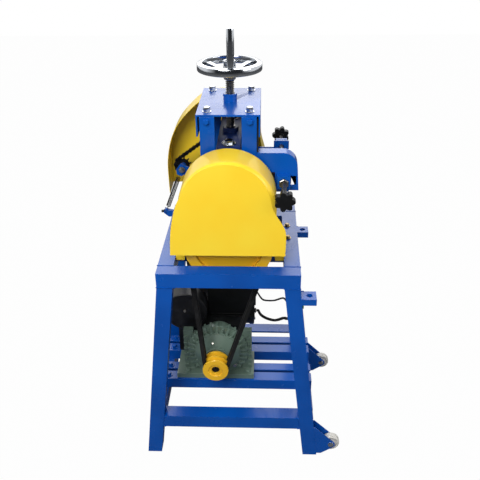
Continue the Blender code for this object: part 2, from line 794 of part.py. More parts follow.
for index in range(SPOKE_COUNT):
    spoke_bm = bmesh.new()
    cube_into(spoke_bm, (1, 1, 1))
    for vert in spoke_bm.verts:
        outward = vert.co.x > 0
        width = SPOKE_NARROW if outward else SPOKE_WIDE
        vert.co = Vector((
            SPOKE_END if outward else SPOKE_START,
            vert.co.y * width,
            vert.co.z * SPOKE_THICK - (0 if outward else SPOKE_DROP),
        ))
    around = math.radians(CRANK_ANGLE + index * 360 / SPOKE_COUNT)
    bmesh.ops.rotate(spoke_bm, verts=spoke_bm.verts, matrix=Matrix.Rotation(around, 3, "Z"))
    union(rim, finish("spoke", spoke_bm, CHROME, (0, TOWER_MID, RIM_Z), wheel_pivot))
union(rim, hub)
CRANK_X = RIM_MIDDLE * math.cos(math.radians(CRANK_ANGLE))
CRANK_Y = TOWER_MID + RIM_MIDDLE * math.sin(math.radians(CRANK_ANGLE))
SPINDLE_SINK = 0.012
SPINDLE_TOP = WHEEL_TOP + CRANK_LENGTH - 0.006
SPINDLE_FOOT = WHEEL_TOP - SPINDLE_SINK
union(rim, rod(
    "crank_spindle", SPINDLE_RADIUS, SPINDLE_TOP - SPINDLE_FOOT,
    (CRANK_X, CRANK_Y, (SPINDLE_TOP + SPINDLE_FOOT) / 2), "Z", STEEL, wheel_pivot, SMALL_ROUND,
))
crank_pivot = pivot("crank_pivot", (CRANK_X, CRANK_Y, WHEEL_TOP), wheel_pivot)
spindle_bore = SPINDLE_RADIUS + RUNNING
turned(
    "crank_handle",
    [(0, CRANK_LENGTH), (CRANK_RADIUS - 0.002, CRANK_LENGTH), (CRANK_RADIUS, CRANK_LENGTH - 0.002),
     (CRANK_RADIUS - 0.0005, CRANK_LENGTH / 2), (CRANK_RADIUS, 0.002), (CRANK_RADIUS - 0.002, GAP),
     (spindle_bore, GAP), (spindle_bore, CRANK_LENGTH - 0.004), (0, CRANK_LENGTH - 0.004)],
    (CRANK_X, CRANK_Y, WHEEL_TOP), CHROME, crank_pivot, closed=False,
)

# Blade shaft: slitting discs between spacers, and its sprocket
blade = pivot("blade_pivot", (0, TOWER_MID, BLADE_Z), lift)
SHAFT_NEAR = TOWER_NEAR - 0.010
SHAFT_FAR = CHAIN_Y + SPROCKET_WIDTH
LANE_Y = [TOWER_MID + (index - (LANES - 1) / 2) * LANE_PITCH for index in range(LANES)]
EDGE = 0.008


def ring_profile(outline, inner):
    """Close a turned outline with its bore."""
    top = outline[0][1]
    foot = outline[-1][1]
    return [(inner, top)] + outline + [(inner, foot)]


def turned_row(name, profile, place, surface, parent, steps=ROUND):
    """A ring on a shaft along Y, its profile closed."""
    return turned(name, profile, place, surface, parent, FACING_NEAR, steps, closed=True)


disc_inner = BLADE_SHAFT_RADIUS + GAP
disc = ring_profile(
    [(BLADE_RADIUS - EDGE, BLADE_WIDTH / 2), (BLADE_RADIUS, 0.0002), (BLADE_RADIUS, -0.0002),
     (BLADE_RADIUS - EDGE, -BLADE_WIDTH / 2)],
    disc_inner,
)
for index, y in enumerate(LANE_Y):
    turned_row(f"slitting_disc_{index + 1}", disc, (0, y, BLADE_Z), TOOL_STEEL, blade)
REACH = (BLOCK_NEAR_Y + BLOCK_DEPTH / 2 + RUNNING, BLOCK_FAR_Y - BLOCK_DEPTH / 2 - RUNNING)


def shaft_steps(near, far, radius, width):
    """A shaft with raised collars between its lanes."""
    steps = [(radius, near, REACH[0])]
    start = REACH[0]
    for y in LANE_Y:
        steps.append((SPACER_RADIUS, start, y - width / 2 - GAP))
        start = y + width / 2 + GAP
        steps.append((radius, y - width / 2 - GAP, start))
    steps.append((SPACER_RADIUS, start, REACH[1]))
    steps.append((radius, REACH[1], far))
    return steps


pin_along_y(
    "blade_shaft", shaft_steps(SHAFT_NEAR, SHAFT_FAR, BLADE_SHAFT_RADIUS, BLADE_WIDTH),
    (0, TOWER_MID, BLADE_Z), STEEL, blade, SHAFT_SIDES,
)


def sprocket_loops(teeth, bore_radius):
    """Outline of a roller chain sprocket with its bore."""
    pitch_radius = CHAIN_PITCH / (2 * math.sin(math.pi / teeth))
    root = pitch_radius - 0.0040
    tip = pitch_radius + 0.0030
    points = []
    for index in range(teeth):
        for share, radius in ((-0.30, root), (0.30, root), (0.42, tip), (0.58, tip)):
            angle = 2 * math.pi * (index + share) / teeth
            points.append((radius * math.cos(angle), radius * math.sin(angle)))
    return [points, arc((0, 0), bore_radius, 0, 360 - 360 / SMALL_ROUND, SMALL_ROUND - 1)]


def pitch_radius(teeth):
    """Pitch radius of a sprocket."""
    return CHAIN_PITCH / (2 * math.sin(math.pi / teeth))


flat(
    "blade_sprocket", sprocket_loops(BIG_TEETH, disc_inner), SPROCKET_WIDTH, (0, CHAIN_Y, BLADE_Z),
    DARK_STEEL, blade,
)

# Feed shaft: grooved feed wheels, belt pulley and sprocket
feed = pivot("feed_pivot", (0, TOWER_MID, FEED_Z))
FEED_NEAR = PULLEY_NEAR - 0.012
pin_along_y(
    "feed_shaft", shaft_steps(FEED_NEAR, SHAFT_FAR, FEED_SHAFT_RADIUS, FEED_WHEEL_WIDTH),
    (0, TOWER_MID, FEED_Z), STEEL, feed, SHAFT_SIDES,
)
feed_inner = FEED_SHAFT_RADIUS + GAP
FEED_HALF = FEED_WHEEL_WIDTH / 2
wheel_profile = ring_profile(
    [(FEED_WHEEL_RADIUS, FEED_HALF), (FEED_WHEEL_RADIUS - FEED_GROOVE, 0), (FEED_WHEEL_RADIUS, -FEED_HALF)],
    feed_inner,
)
for index, y in enumerate(LANE_Y):
    turned_row(f"feed_wheel_{index + 1}", wheel_profile, (0, y, FEED_Z), TOOL_STEEL, feed)
flat(
    "feed_sprocket", sprocket_loops(BIG_TEETH, feed_inner), SPROCKET_WIDTH, (0, CHAIN_Y, FEED_Z),
    DARK_STEEL, feed,
)


def pulley_profile(radius, inner, web=None):
    """A grooved pulley from its near face to its far face, near face on top."""
    half = PULLEY_WIDTH / 2
    groove = BELT_WIDTH / 2 + 2 * RUNNING
    floor = radius - BELT_DEPTH - BELT_INSET - 2 * RUNNING
    outline = [(radius, half)]
    for index in range(GROOVES):
        middle = half - PULLEY_EDGE - index * GROOVE_PITCH
        outline += [(radius, middle + groove), (floor, middle + groove - 0.001),
                    (floor, middle - groove + 0.001), (radius, middle - groove)]
    outline.append((radius, -half))
    if web is None:
        return ring_profile(outline, inner)
    rim, hub_radius, dish = web
    dished = half - dish
    near = [(hub_radius, half), (hub_radius, dished), (radius - rim, dished), (radius - rim, half)]
    far = [(radius - rim, -half), (radius - rim, -dished), (hub_radius, -dished), (hub_radius, -half)]
    return ring_profile(near + outline + far, inner)


PULLEY_MIDDLE = PULLEY_NEAR + PULLEY_WIDTH / 2
PULLEY_RIM = 0.024
PULLEY_HUB = 0.030
PULLEY_DISH = 0.012
turned_row(
    "feed_pulley", pulley_profile(BIG_PULLEY_RADIUS, feed_inner, (PULLEY_RIM, PULLEY_HUB, PULLEY_DISH)),
    (0, PULLEY_MIDDLE, FEED_Z), PULLEY_YELLOW, feed,
)

# Motor pulley on the reducer's output shaft
drive = pivot("motor_pulley_pivot", (MOTOR_PULLEY_X, PULLEY_MIDDLE, MOTOR_PULLEY_Z))
OUTPUT_FAR = GEAR_NEAR + 0.010
OUTPUT_NEAR = PULLEY_NEAR + 0.004
small_pulley = turned_row(
    "motor_pulley", pulley_profile(MOTOR_PULLEY_RADIUS, OUTPUT_RADIUS - LAP),
    (MOTOR_PULLEY_X, PULLEY_MIDDLE, MOTOR_PULLEY_Z), PULLEY_YELLOW, drive, 24,
)
union(small_pulley, rod(
    "output_shaft", OUTPUT_RADIUS, OUTPUT_FAR - OUTPUT_NEAR,
    (MOTOR_PULLEY_X, (OUTPUT_NEAR + OUTPUT_FAR) / 2, MOTOR_PULLEY_Z), "Y", STEEL, drive, 24,
))

# Belts
BELT_ARC = 18
for index, label in zip(range(GROOVES), ("near", "far")):
    middle = PULLEY_NEAR + PULLEY_EDGE + index * GROOVE_PITCH
    wheels = [
        (0, FEED_Z, BIG_PULLEY_RADIUS - BELT_INSET, 1),
        (MOTOR_PULLEY_X, MOTOR_PULLEY_Z, MOTOR_PULLEY_RADIUS - BELT_INSET, 1),
    ]
    outer = loop_around(wheels, 0, BELT_ARC)
    inner = loop_around(wheels, -BELT_DEPTH, BELT_ARC)
    flat("belt_" + label, [outer, inner], BELT_WIDTH, (0, middle, 0), BLACK_RUBBER, smooth=True)

# Chain with its idler, guide sprocket and tensioner
chain_wheels = [
    (0, BLADE_Z, pitch_radius(BIG_TEETH), 1),
    (*GUIDE, pitch_radius(SMALL_TEETH), 1),
    (0, FEED_Z, pitch_radius(BIG_TEETH), -1),
    (*IDLER, pitch_radius(SMALL_TEETH), 1),
]
CHAIN_STEPS = 6
chain_loops = [loop_around(chain_wheels, sign * CHAIN_HEIGHT / 2, CHAIN_STEPS) for sign in (1, -1)]
bands = []
for sign in (-1, 1):
    band_y = CHAIN_Y + sign * (CHAIN_INNER + CHAIN_PLATE) / 2
    bands.append(flat("roller_chain", chain_loops, CHAIN_PLATE, (0, band_y, 0), DARK_STEEL))
chain = union(bands[0], bands[1])
middle_line = loop_around(chain_wheels, 0, CHAIN_STEPS)
ROLLER = 0.003
for end in (CHAIN_STEPS, -1):
    start_point = middle_line[end]
    end_point = middle_line[end + 1]
    union(chain, rod(
        "roller", ROLLER, CHAIN_INNER + CHAIN_PLATE,
        ((start_point[0] + end_point[0]) / 2, CHAIN_Y, (start_point[1] + end_point[1]) / 2), "Y",
        DARK_STEEL, None, SMALL_ROUND,
    ))

guide_spin = pivot("guide_pivot", (GUIDE[0], CHAIN_Y, GUIDE[1]))
flat(
    "guide_sprocket", sprocket_loops(SMALL_TEETH, PIN_RADIUS + RUNNING), SPROCKET_WIDTH,
    (GUIDE[0], CHAIN_Y, GUIDE[1]), DARK_STEEL, guide_spin,
)


# Tensioner arm: it turns on the far left post and carries the idler
arm_pivot = pivot("arm_pivot", (ARM_PIVOT[0], ARM_Y, ARM_PIVOT[1]))
ARM_HALF = ARM_WIDTH / 2
ARM_NEAR = ARM_Y - ARM_THICK / 2
ARM_FAR = ARM_Y + ARM_THICK / 2
tab = spring_face(SPRING_TOP, -GAP)
arm_outline = arc(ARM_PIVOT, ARM_HALF * 0.8, 80, -100, 8) + [
    (IDLER[0] + 0.004, IDLER[1] - 0.017),
    (tab[1].x, tab[1].z),
    (tab[0].x, tab[0].z),
    (IDLER[0] - 0.0175, IDLER[1] - 0.002),
    (IDLER[0] - 0.003, IDLER[1] + 0.017),
    (IDLER[0] + 0.016, IDLER[1] + 0.006),
]
arm = flat("tensioner_arm", [arm_outline], ARM_THICK, (0, ARM_Y, 0), BLUE, None)
boolean(arm, cutter_rod(PIN_RADIUS + RUNNING, 3 * ARM_THICK, (ARM_PIVOT[0], ARM_Y, ARM_PIVOT[1]), "Y", 24))
arm.parent = arm_pivot
arm.location = Vector((0, ARM_Y, 0)) - Vector(arm_pivot["place"])
pin_along_y(
    "arm_pin",
    [(PIN_SHOULDER, TOWER_FAR + GAP, ARM_NEAR - GAP),
     (PIN_RADIUS, ARM_NEAR - GAP, ARM_FAR + GAP),
     (PIN_SHOULDER, ARM_FAR + GAP, ARM_FAR + GAP + PIN_HEAD)],
    (ARM_PIVOT[0], ARM_Y, ARM_PIVOT[1]), STEEL,
)
IDLER_HEAD = 0.0075
union(arm, pin_along_y(
    "idler_pin",
    [(IDLER_HEAD, ARM_NEAR - PIN_HEAD, ARM_NEAR + LAP),
     (PIN_SHOULDER, ARM_NEAR + LAP, SPROCKET_NEAR - GAP),
     (PIN_RADIUS, SPROCKET_NEAR - GAP, SPROCKET_FAR + GAP),
     (IDLER_HEAD, SPROCKET_FAR + GAP, PIN_END)],
    (IDLER[0], ARM_Y, IDLER[1]), DARK_STEEL, arm_pivot,
))
idler_spin = pivot("idler_pivot", (IDLER[0], CHAIN_Y, IDLER[1]), arm_pivot)
flat(
    "idler_sprocket", sprocket_loops(SMALL_TEETH, PIN_RADIUS + RUNNING), SPROCKET_WIDTH,
    (IDLER[0], CHAIN_Y, IDLER[1]), DARK_STEEL, idler_spin,
)

# Tensioner spring: one wire, close wound between straight ends
spring_length = spring_run.length
STRAIGHT = 0.006
TURN_IN = 0.004
coil_length = spring_length - 2 * (STRAIGHT + TURN_IN)
steps = SPRING_CURLS * CURL_POINTS
spring_points = []
start = Vector((SPRING_TOP[0], ARM_Y, SPRING_TOP[1]))
spring_points.append(start)
spring_points.append(start + spring_way * STRAIGHT)
for step in range(steps + 1):
    angle = 2 * math.pi * step / CURL_POINTS
    along = STRAIGHT + TURN_IN + coil_length * step / steps
    radial = spring_side * math.cos(angle) + Vector((0, 1, 0)) * math.sin(angle)
    spring_points.append(start + spring_way * along + radial * SPRING_RADIUS)
spring_points.append(start + spring_way * (spring_length - STRAIGHT))
spring_points.append(start + spring_run)
wire = bpy.data.curves.new("tensioner_spring", "CURVE")
wire.dimensions = "3D"
wire.bevel_depth = SPRING_WIRE
wire.bevel_resolution = 1
wire.use_fill_caps = True
spline = wire.splines.new("POLY")
spline.points.add(len(spring_points) - 1)
for point, co in zip(spline.points, spring_points):
    point.co = (*(co - start), 1.0)
spring = bpy.data.objects.new("tensioner_spring", wire)
wire.materials.append(DARK_STEEL)
machine.objects.link(spring)
set_place(spring, start, None)
coil = spring_points[2:-2]
least = min(
    (coil[i] - coil[j]).length
    for i in range(len(coil)) for j in range(i + CURL_POINTS - 2, min(i + CURL_POINTS + 3, len(coil)))
)
print("least gap of the spring to itself, mm:", round((least - 2 * SPRING_WIRE) * 1000, 2))

# Near guard: a flat face with wings and a band arched over the belt pulley
ARCH_Z = 0.783
ARCH_ROOM = 0.0035
ARCH_RADIUS = BIG_PULLEY_RADIUS + ARCH_ROOM
FACE_RADIUS = 0.1075
WING = 0.1395
face_arc = arc((-0.003, ARCH_Z + 0.007), FACE_RADIUS, 4, 163, 18)
left_wing = smooth_line(
    [face_arc[-1], (-0.1205, 0.793), (-0.1320, 0.750), (-0.1385, 0.705), (-0.1410, NEAR_GUARD_FOOT)], 3,
)
right_wing = smooth_line(
    [(WING, NEAR_GUARD_FOOT), (WING + 0.0005, 0.716), (0.1340, 0.7395), (0.1140, 0.7740), face_arc[0]], 3,
)
near_guard = flat(
    "near_guard", [face_arc[:-1] + left_wing + right_wing[:-1]], GUARD_SHEET,
    (0, NEAR_GUARD_FRONT + GUARD_SHEET / 2, 0), YELLOW, smooth=True,
)


def sheet_band(name, stations, sheet, surface):
    """A band of sheet metal: its stations are a depth and the line of points there."""
    bm = bmesh.new()
    rows = []
    for depth, line in stations:
        rows.append([bm.verts.new((x, depth, z)) for x, z in line])
    for near, far in zip(rows, rows[1:]):
        for index in range(len(near) - 1):
            bm.faces.new((near[index], near[index + 1], far[index + 1], far[index]))
    mesh = bpy.data.meshes.new(name)
    bm.to_mesh(mesh)
    bm.free()
    obj = add_mesh(name, mesh, surface, (0, 0, 0), smooth=True)
    wall = obj.modifiers.new("sheet", "SOLIDIFY")
    wall.thickness = sheet
    wall.offset = -1.0
    wall.use_even_offset = True
    return obj


def arch_line(radius, foot):
    """An arch on straight legs, from the right foot over the top to the left."""
    return [(radius, foot)] + arc((0, ARCH_Z), radius, 0, 180, 24) + [(-radius, foot)]


BAND_FRONT = NEAR_GUARD_FRONT + GUARD_SHEET / 2
union(near_guard, sheet_band(
    "band",
    [(BAND_FRONT, arch_line(FACE_RADIUS - 0.001, NEAR_GUARD_FOOT)),
     (BAND_FRONT + 0.006, arch_line(ARCH_RADIUS - 0.0015, NEAR_GUARD_FOOT)),
     (BAND_FRONT + 0.014, arch_line(ARCH_RADIUS, NEAR_GUARD_FOOT)),
     (NEAR_GUARD_BACK, arch_line(ARCH_RADIUS, NEAR_GUARD_FOOT))],
    GUARD_SHEET, YELLOW,
))
CLIP_NEAR = 0.088
CLIP_FAR = 0.106
CLIP_TOP = NEAR_GUARD_FOOT + 0.018
CLIP_FOOT = FRAME_TOP - 0.012
CLIP_INNER = ARCH_RADIUS - GUARD_SHEET / 2
CLIP_OUTER = FRAME_HALF - TUBE - GAP
CLIP_HEIGHT = CLIP_TOP - CLIP_FOOT
for side in (-1, 1):
    middle = (side * (CLIP_INNER + CLIP_OUTER) / 2, (CLIP_NEAR + CLIP_FAR) / 2, (CLIP_TOP + CLIP_FOOT) / 2)
    union(near_guard, bar("clip", (CLIP_OUTER - CLIP_INNER, CLIP_FAR - CLIP_NEAR, CLIP_HEIGHT), middle))

# Far guard: open toward the tower, closed behind
far_line = smooth_line(
    [(0.104, FAR_GUARD_FOOT), (0.104, 0.700), (0.090, 0.760), (0.0755, 0.815), (0.073, 0.870),
     (0.055, 0.915), (0.020, 0.940), (-0.030, 0.947), (-0.0700, 0.9400), (-0.0965, 0.9280),
     (-0.1195, 0.9080), (-0.1495, 0.8750), (-0.1700, 0.8400), (-0.1825, 0.8030), (-0.1900, 0.7600),
     (-0.1915, 0.7200), (-0.1905, FAR_GUARD_FOOT)], 3,
)
far_guard = flat(
    "far_guard", [far_line], GUARD_SHEET, (0, FAR_GUARD_BACK - GUARD_SHEET / 2, 0), YELLOW, smooth=True,
)
union(far_guard, sheet_band(
    "band", [(FAR_GUARD_FRONT, far_line), (FAR_GUARD_BACK - GUARD_SHEET / 2, far_line)], GUARD_SHEET, YELLOW,
))

# Infeed: side plates, a table and two guide plates set by star knobs
PLATE_LEFT = TOWER_HALF + GAP
NOTCH_RIGHT = 0.113
NOTCH_TOP = 0.833
WINDOW = (0.1505, 0.1655, 0.7995, 0.8235)
SLANT = 0.004


def infeed_edge(inset):
    """The outer edge of the near side plate, from its foot over to the post."""
    right = INFEED_RIGHT - inset
    top = INFEED_TOP - inset
    radius = INFEED_CORNER - inset
    centre = (right - SLANT - radius, top - radius)
    return [(right, INFEED_FOOT)] + arc(centre, radius, 0, 90, 8) + [(PLATE_LEFT, top)]


STUD_HOLE = STUD_RADIUS + RUNNING


window_loop = [
    (WINDOW[0], WINDOW[2]), (WINDOW[1], WINDOW[2]), (WINDOW[1], WINDOW[3]), (WINDOW[0], WINDOW[3]),
]
plate_near = flat(
    "infeed_plate_near",
    [infeed_edge(0) + [(PLATE_LEFT, NOTCH_TOP), (NOTCH_RIGHT, NOTCH_TOP), (NOTCH_RIGHT, INFEED_FOOT)],
     window_loop],
    PLATE, (0, TOWER_NEAR + PLATE / 2, 0), BLUE,
)
plate_near["solver"] = "MANIFOLD"
union(plate_near, flat(
    "infeed_rim", [infeed_edge(0) + infeed_edge(PLATE)[::-1]], INFEED_FLANGE,
    (0, TOWER_NEAR + INFEED_FLANGE / 2, 0), BLUE,
))
FAR_PLATE_RIGHT = 0.155
TABLE_FOOT = INFEED_FOOT - GAP - PLATE
TABLE_RIGHT = 0.148
TABLE_DEPTH = TOWER_DEPTH - PLATE + LAP
infeed_table = box(
    "infeed_table", (TABLE_RIGHT - PLATE_LEFT - LAP, TABLE_DEPTH, PLATE),
    ((TABLE_RIGHT + PLATE_LEFT + LAP) / 2, TOWER_NEAR + TABLE_DEPTH / 2, TABLE_FOOT + PLATE / 2), BLUE,
)
FAR_STEP = CLAMP_Z + CLAMP_BLOCK / 2 + LAP
plate_far = flat(
    "infeed_plate_far",
    [[(PLATE_LEFT, TABLE_FOOT - LAP), (FAR_PLATE_RIGHT, TABLE_FOOT - LAP), (FAR_PLATE_RIGHT, FAR_STEP),
      (NOTCH_RIGHT, FAR_STEP), (NOTCH_RIGHT, INFEED_FAR_TOP), (PLATE_LEFT, INFEED_FAR_TOP)]],
    PLATE, (0, TOWER_FAR - PLATE / 2, 0), BLUE,
)
union(infeed_table, plate_far)
infeed_walls = {"near": plate_near, "far": infeed_table}
KNOB_CORE = 0.0185
for label, facing, wall_y, reach, inset in (
    ("near", -1, TOWER_NEAR, KNOB_REACH_NEAR, GUIDE_INSET_NEAR),
    ("far", 1, TOWER_FAR, KNOB_REACH_FAR, GUIDE_INSET_FAR),
):
    wall = infeed_walls[label]
    block_y = wall_y + facing * (CLAMP_DEPTH - LAP) / 2
    union(wall, box(
        "clamp_block", (CLAMP_BLOCK, CLAMP_DEPTH + LAP, CLAMP_BLOCK), (CLAMP_X, block_y, CLAMP_Z), BLUE,
    ))
    boolean(wall, cutter_rod(STUD_HOLE, 3 * CLAMP_DEPTH, (CLAMP_X, wall_y, CLAMP_Z), "Y", SMALL_ROUND))
    slide = pivot("guide_slide_" + label, (CLAMP_X, wall_y - facing * inset, CLAMP_Z))
    guide_y = wall_y - facing * (inset + GUIDE_PLATE / 2)
    guide_left = TOWER_HALF + 0.010
    guide = box(
        "guide_plate_" + label, (FAR_PLATE_RIGHT - guide_left, GUIDE_PLATE, 0.044),
        ((FAR_PLATE_RIGHT + guide_left) / 2, guide_y, INFEED_FOOT + 0.001 + 0.022), DARK_STEEL, slide,
    )
    boolean(
        guide, cutter_rod(STUD_HOLE, 2 * GUIDE_PLATE, (CLAMP_X, guide_y, CLAMP_Z), "Y", SMALL_ROUND),
    )
    knob_y = wall_y + facing * reach
    knob_pivot = pivot("knob_pivot_" + label, (CLAMP_X, knob_y, CLAMP_Z), slide)
    points = []
    for index in range(KNOB_LOBES * 8):
        angle = 2 * math.pi * index / (KNOB_LOBES * 8)
        bulge = (1 + math.cos(KNOB_LOBES * angle)) / 2
        radius = KNOB_CORE + (KNOB_RADIUS - KNOB_CORE) * math.sqrt(bulge)
        points.append((radius * math.cos(angle), radius * math.sin(angle)))
    tip = wall_y - facing * (inset + GUIDE_PLATE + GAP)
    knob = flat("star_knob_" + label, [points], KNOB_LENGTH, (CLAMP_X, knob_y, CLAMP_Z), BLACK, knob_pivot)
    union(knob, rod(
        "clamp_stud", STUD_RADIUS, abs(tip - knob_y), (CLAMP_X, (tip + knob_y) / 2, CLAMP_Z), "Y",
        STEEL, knob_pivot, SMALL_ROUND,
    ))

# Reducer
FOOT_NEAR = GEAR_NEAR - 0.028
FOOT_FAR = GEAR_FAR + 0.004
FOOT_LEFT = -0.165
FOOT_RIGHT = 0.0615
case = box(
    "gearbox_case", (FOOT_RIGHT - FOOT_LEFT, FOOT_FAR - FOOT_NEAR, GEAR_FOOT),
    ((FOOT_RIGHT + FOOT_LEFT) / 2, (FOOT_FAR + FOOT_NEAR) / 2, BED_TOP + GAP + GEAR_FOOT / 2),
    GREY_GREEN,
)
CASE_LENGTH = 0.020
CASE_FAR = GEAR_NEAR + CASE_LENGTH
GEAR_NECK = 0.042
barrel = rod(
    "barrel", GEAR_RADIUS, CASE_LENGTH,
    (MOTOR_PULLEY_X, (GEAR_NEAR + CASE_FAR) / 2, MOTOR_PULLEY_Z), "Y", GREY_GREEN,
)
gear_neck = rod(
    "gear_neck", GEAR_NECK, GEAR_FAR - GEAR_NEAR,
    (MOTOR_PULLEY_X, (GEAR_NEAR + GEAR_FAR) / 2, MOTOR_PULLEY_Z), "Y", GREY_GREEN,
)
NOSE_BASE = 0.065
NOSE_TIP = 0.031
NOSE_LENGTH = GEAR_NEAR - NOSE_NEAR
COLLAR_LENGTH = 0.008
RIM_LENGTH = 0.020
RING_RADIUS = 0.086
RING_LENGTH = 0.010
nose = turned(
    "nose",
    [(0, NOSE_LENGTH), (NOSE_TIP, NOSE_LENGTH), (NOSE_TIP, NOSE_LENGTH - COLLAR_LENGTH),
     (NOSE_BASE, RIM_LENGTH), (NOSE_BASE, RING_LENGTH), (RING_RADIUS, RING_LENGTH),
     (RING_RADIUS, -0.004), (0, -0.004)],
    (MOTOR_PULLEY_X, GEAR_NEAR, MOTOR_PULLEY_Z), GREY_GREEN, None, FACING_NEAR,
)
COLUMN = 0.028
COLUMN_TOP = 0.330
COLUMN_SPAN = GEAR_WIDTH - COLUMN - 0.008
columns = []
for side in (-1, 1):
    columns.append(box(
        "column", (COLUMN, CASE_LENGTH - 0.003, COLUMN_TOP - BED_TOP - GEAR_FOOT + 0.004),
        (MOTOR_PULLEY_X + side * COLUMN_SPAN / 2, (GEAR_NEAR + CASE_FAR) / 2,
         (COLUMN_TOP + BED_TOP + GEAR_FOOT - 0.004) / 2), GREY_GREEN,
    ))
union(case, barrel, gear_neck, nose, *columns)
BORE_DEPTH = OUTPUT_FAR + GAP - NOSE_NEAR
boolean(case, cutter_rod(
    OUTPUT_RADIUS + GAP, 2 * BORE_DEPTH, (MOTOR_PULLEY_X, NOSE_NEAR, MOTOR_PULLEY_Z), "Y", 24,
))

# Motor: it lies across, behind the reducer, with its terminal box in front and on top
MOTOR_FLANGE = 0.004
FLANGE_NEAR = GEAR_FAR + GAP
FLANGE_FAR = FLANGE_NEAR + MOTOR_FLANGE
FLANGE_WIDTH = 0.130
FLANGE_FOOT = 0.238
FLANGE_TOP = 0.3245
NECK_RADIUS = 0.044
NECK_Z = (FLANGE_FOOT + FLANGE_TOP) / 2
MOTOR_Y = FLANGE_FAR + MOTOR_RADIUS
FAN_COVER = 0.0275
FAN_COVER_RADIUS = MOTOR_RADIUS - 0.001
FAN_COVER_FLAT = FRAME_DEPTH - TUBE - RUNNING
STAND_LEFT = -0.172
STAND_RIGHT = 0.030
STAND_NEAR = GEAR_FAR + 0.024
STAND_FAR = BED_FAR_Y + 0.077
STAND_TOP = MOTOR_Z - MOTOR_RADIUS + 0.014
GLAND_RADIUS = 0.0075
GLAND_LENGTH = 0.006
GLAND_SINK = 0.004
GLAND_Y = GEAR_FAR + 0.020
COVER_RADIUS = 0.0615
COVER_X = -0.1385
COVER_Z = 0.362
COVER_NEAR = GEAR_FAR - 0.030
COVER_FAR = GEAR_FAR + 0.017
MOTOR_MIDDLE = (MOTOR_LEFT + MOTOR_RIGHT) / 2
motor = rod(
    "motor_body", MOTOR_RADIUS, MOTOR_RIGHT - MOTOR_LEFT, (MOTOR_MIDDLE, MOTOR_Y, MOTOR_Z), "X", BLACK,
)
FAN_MIDDLE = MOTOR_LEFT - (FAN_COVER - LAP) / 2
fan_cover = rod(
    "fan_cover", FAN_COVER_RADIUS, FAN_COVER + LAP, (FAN_MIDDLE, MOTOR_Y, MOTOR_Z), "X", BLACK,
)
boolean(fan_cover, as_cutter(box(
    "leg_room", (2 * FAN_COVER, TUBE, 2 * MOTOR_RADIUS),
    (FAN_MIDDLE, FAN_COVER_FLAT + TUBE / 2, MOTOR_Z), BLACK,
)))
GLAND_MIDDLE = MOTOR_RIGHT + (GLAND_LENGTH - GLAND_SINK) / 2
union(
    motor,
    box("motor_flange", (FLANGE_WIDTH, MOTOR_FLANGE, FLANGE_TOP - FLANGE_FOOT),
        (MOTOR_PULLEY_X, (FLANGE_FAR + FLANGE_NEAR) / 2, NECK_Z), BLACK),
    rod("motor_neck", NECK_RADIUS, MOTOR_RADIUS,
        (MOTOR_PULLEY_X, FLANGE_FAR - LAP + MOTOR_RADIUS / 2, NECK_Z), "Y", BLACK),
    fan_cover,
    box("motor_stand", (STAND_RIGHT - STAND_LEFT, STAND_FAR - STAND_NEAR, STAND_TOP - BED_TOP - GAP),
        ((STAND_RIGHT + STAND_LEFT) / 2, (STAND_FAR + STAND_NEAR) / 2, (STAND_TOP + BED_TOP + GAP) / 2),
        BLACK),
    rod("round_cover", COVER_RADIUS, COVER_FAR - COVER_NEAR,
        (COVER_X, (COVER_FAR + COVER_NEAR) / 2, COVER_Z), "Y", BLACK),
    rod("motor_gland", GLAND_RADIUS, GLAND_LENGTH + GLAND_SINK, (GLAND_MIDDLE, GLAND_Y, MOTOR_Z),
        "X", BLACK, None, SMALL_ROUND),
)
TERMINAL_LEFT = -0.0755
TERMINAL_RIGHT = 0.062
TERMINAL_FOOT = 0.326
TERMINAL_TOP = 0.432
TERMINAL_MIDDLE = (TERMINAL_LEFT + TERMINAL_RIGHT) / 2
terminal = box(
    "terminal_box", (TERMINAL_RIGHT - TERMINAL_LEFT, MOTOR_Y - FLANGE_NEAR, TERMINAL_TOP - TERMINAL_FOOT),
    (TERMINAL_MIDDLE, (MOTOR_Y + FLANGE_NEAR) / 2, (TERMINAL_TOP + TERMINAL_FOOT) / 2), BLACK, bevel=0.002,
)
boolean(terminal, cutter_rod(
    MOTOR_RADIUS + GAP, 2 * (TERMINAL_RIGHT - TERMINAL_LEFT), (TERMINAL_MIDDLE, MOTOR_Y, MOTOR_Z), "X",
))

# Switch box on the back of the near right leg, with two push buttons
SWITCH = (0.034, 0.036, 0.080)
SWITCH_X = 0.172
SWITCH_Y = TUBE + GAP + SWITCH[1] / 2
SWITCH_Z = 0.470
switch = box("switch_box", SWITCH, (SWITCH_X, SWITCH_Y, SWITCH_Z), BLACK, bevel=0.002)
BUTTON_RADIUS = 0.008
BUTTON_WELL = 0.010
BUTTON_PROUD = 0.004
BUTTON_SPAN = 0.016
BUTTON_TRAVEL = 0.003
SWITCH_FACE = SWITCH_X + SWITCH[0] / 2
for label, surface, sign in (("start", GREEN, 1), ("stop", RED, -1)):
    height = SWITCH_Z + sign * BUTTON_SPAN
    boolean(switch, cutter_rod(
        BUTTON_RADIUS + GAP, 2 * BUTTON_WELL, (SWITCH_FACE, SWITCH_Y, height), "X", 20,
    ))
    button = pivot(label + "_button_pivot", (SWITCH_FACE, SWITCH_Y, height))
    length = BUTTON_PROUD + BUTTON_WELL - BUTTON_TRAVEL - 2 * GAP
    middle_x = SWITCH_FACE + BUTTON_PROUD - length / 2
    rod(
        label + "_button", BUTTON_RADIUS, length, (middle_x, SWITCH_Y, height), "X", surface, button, 20,
    )


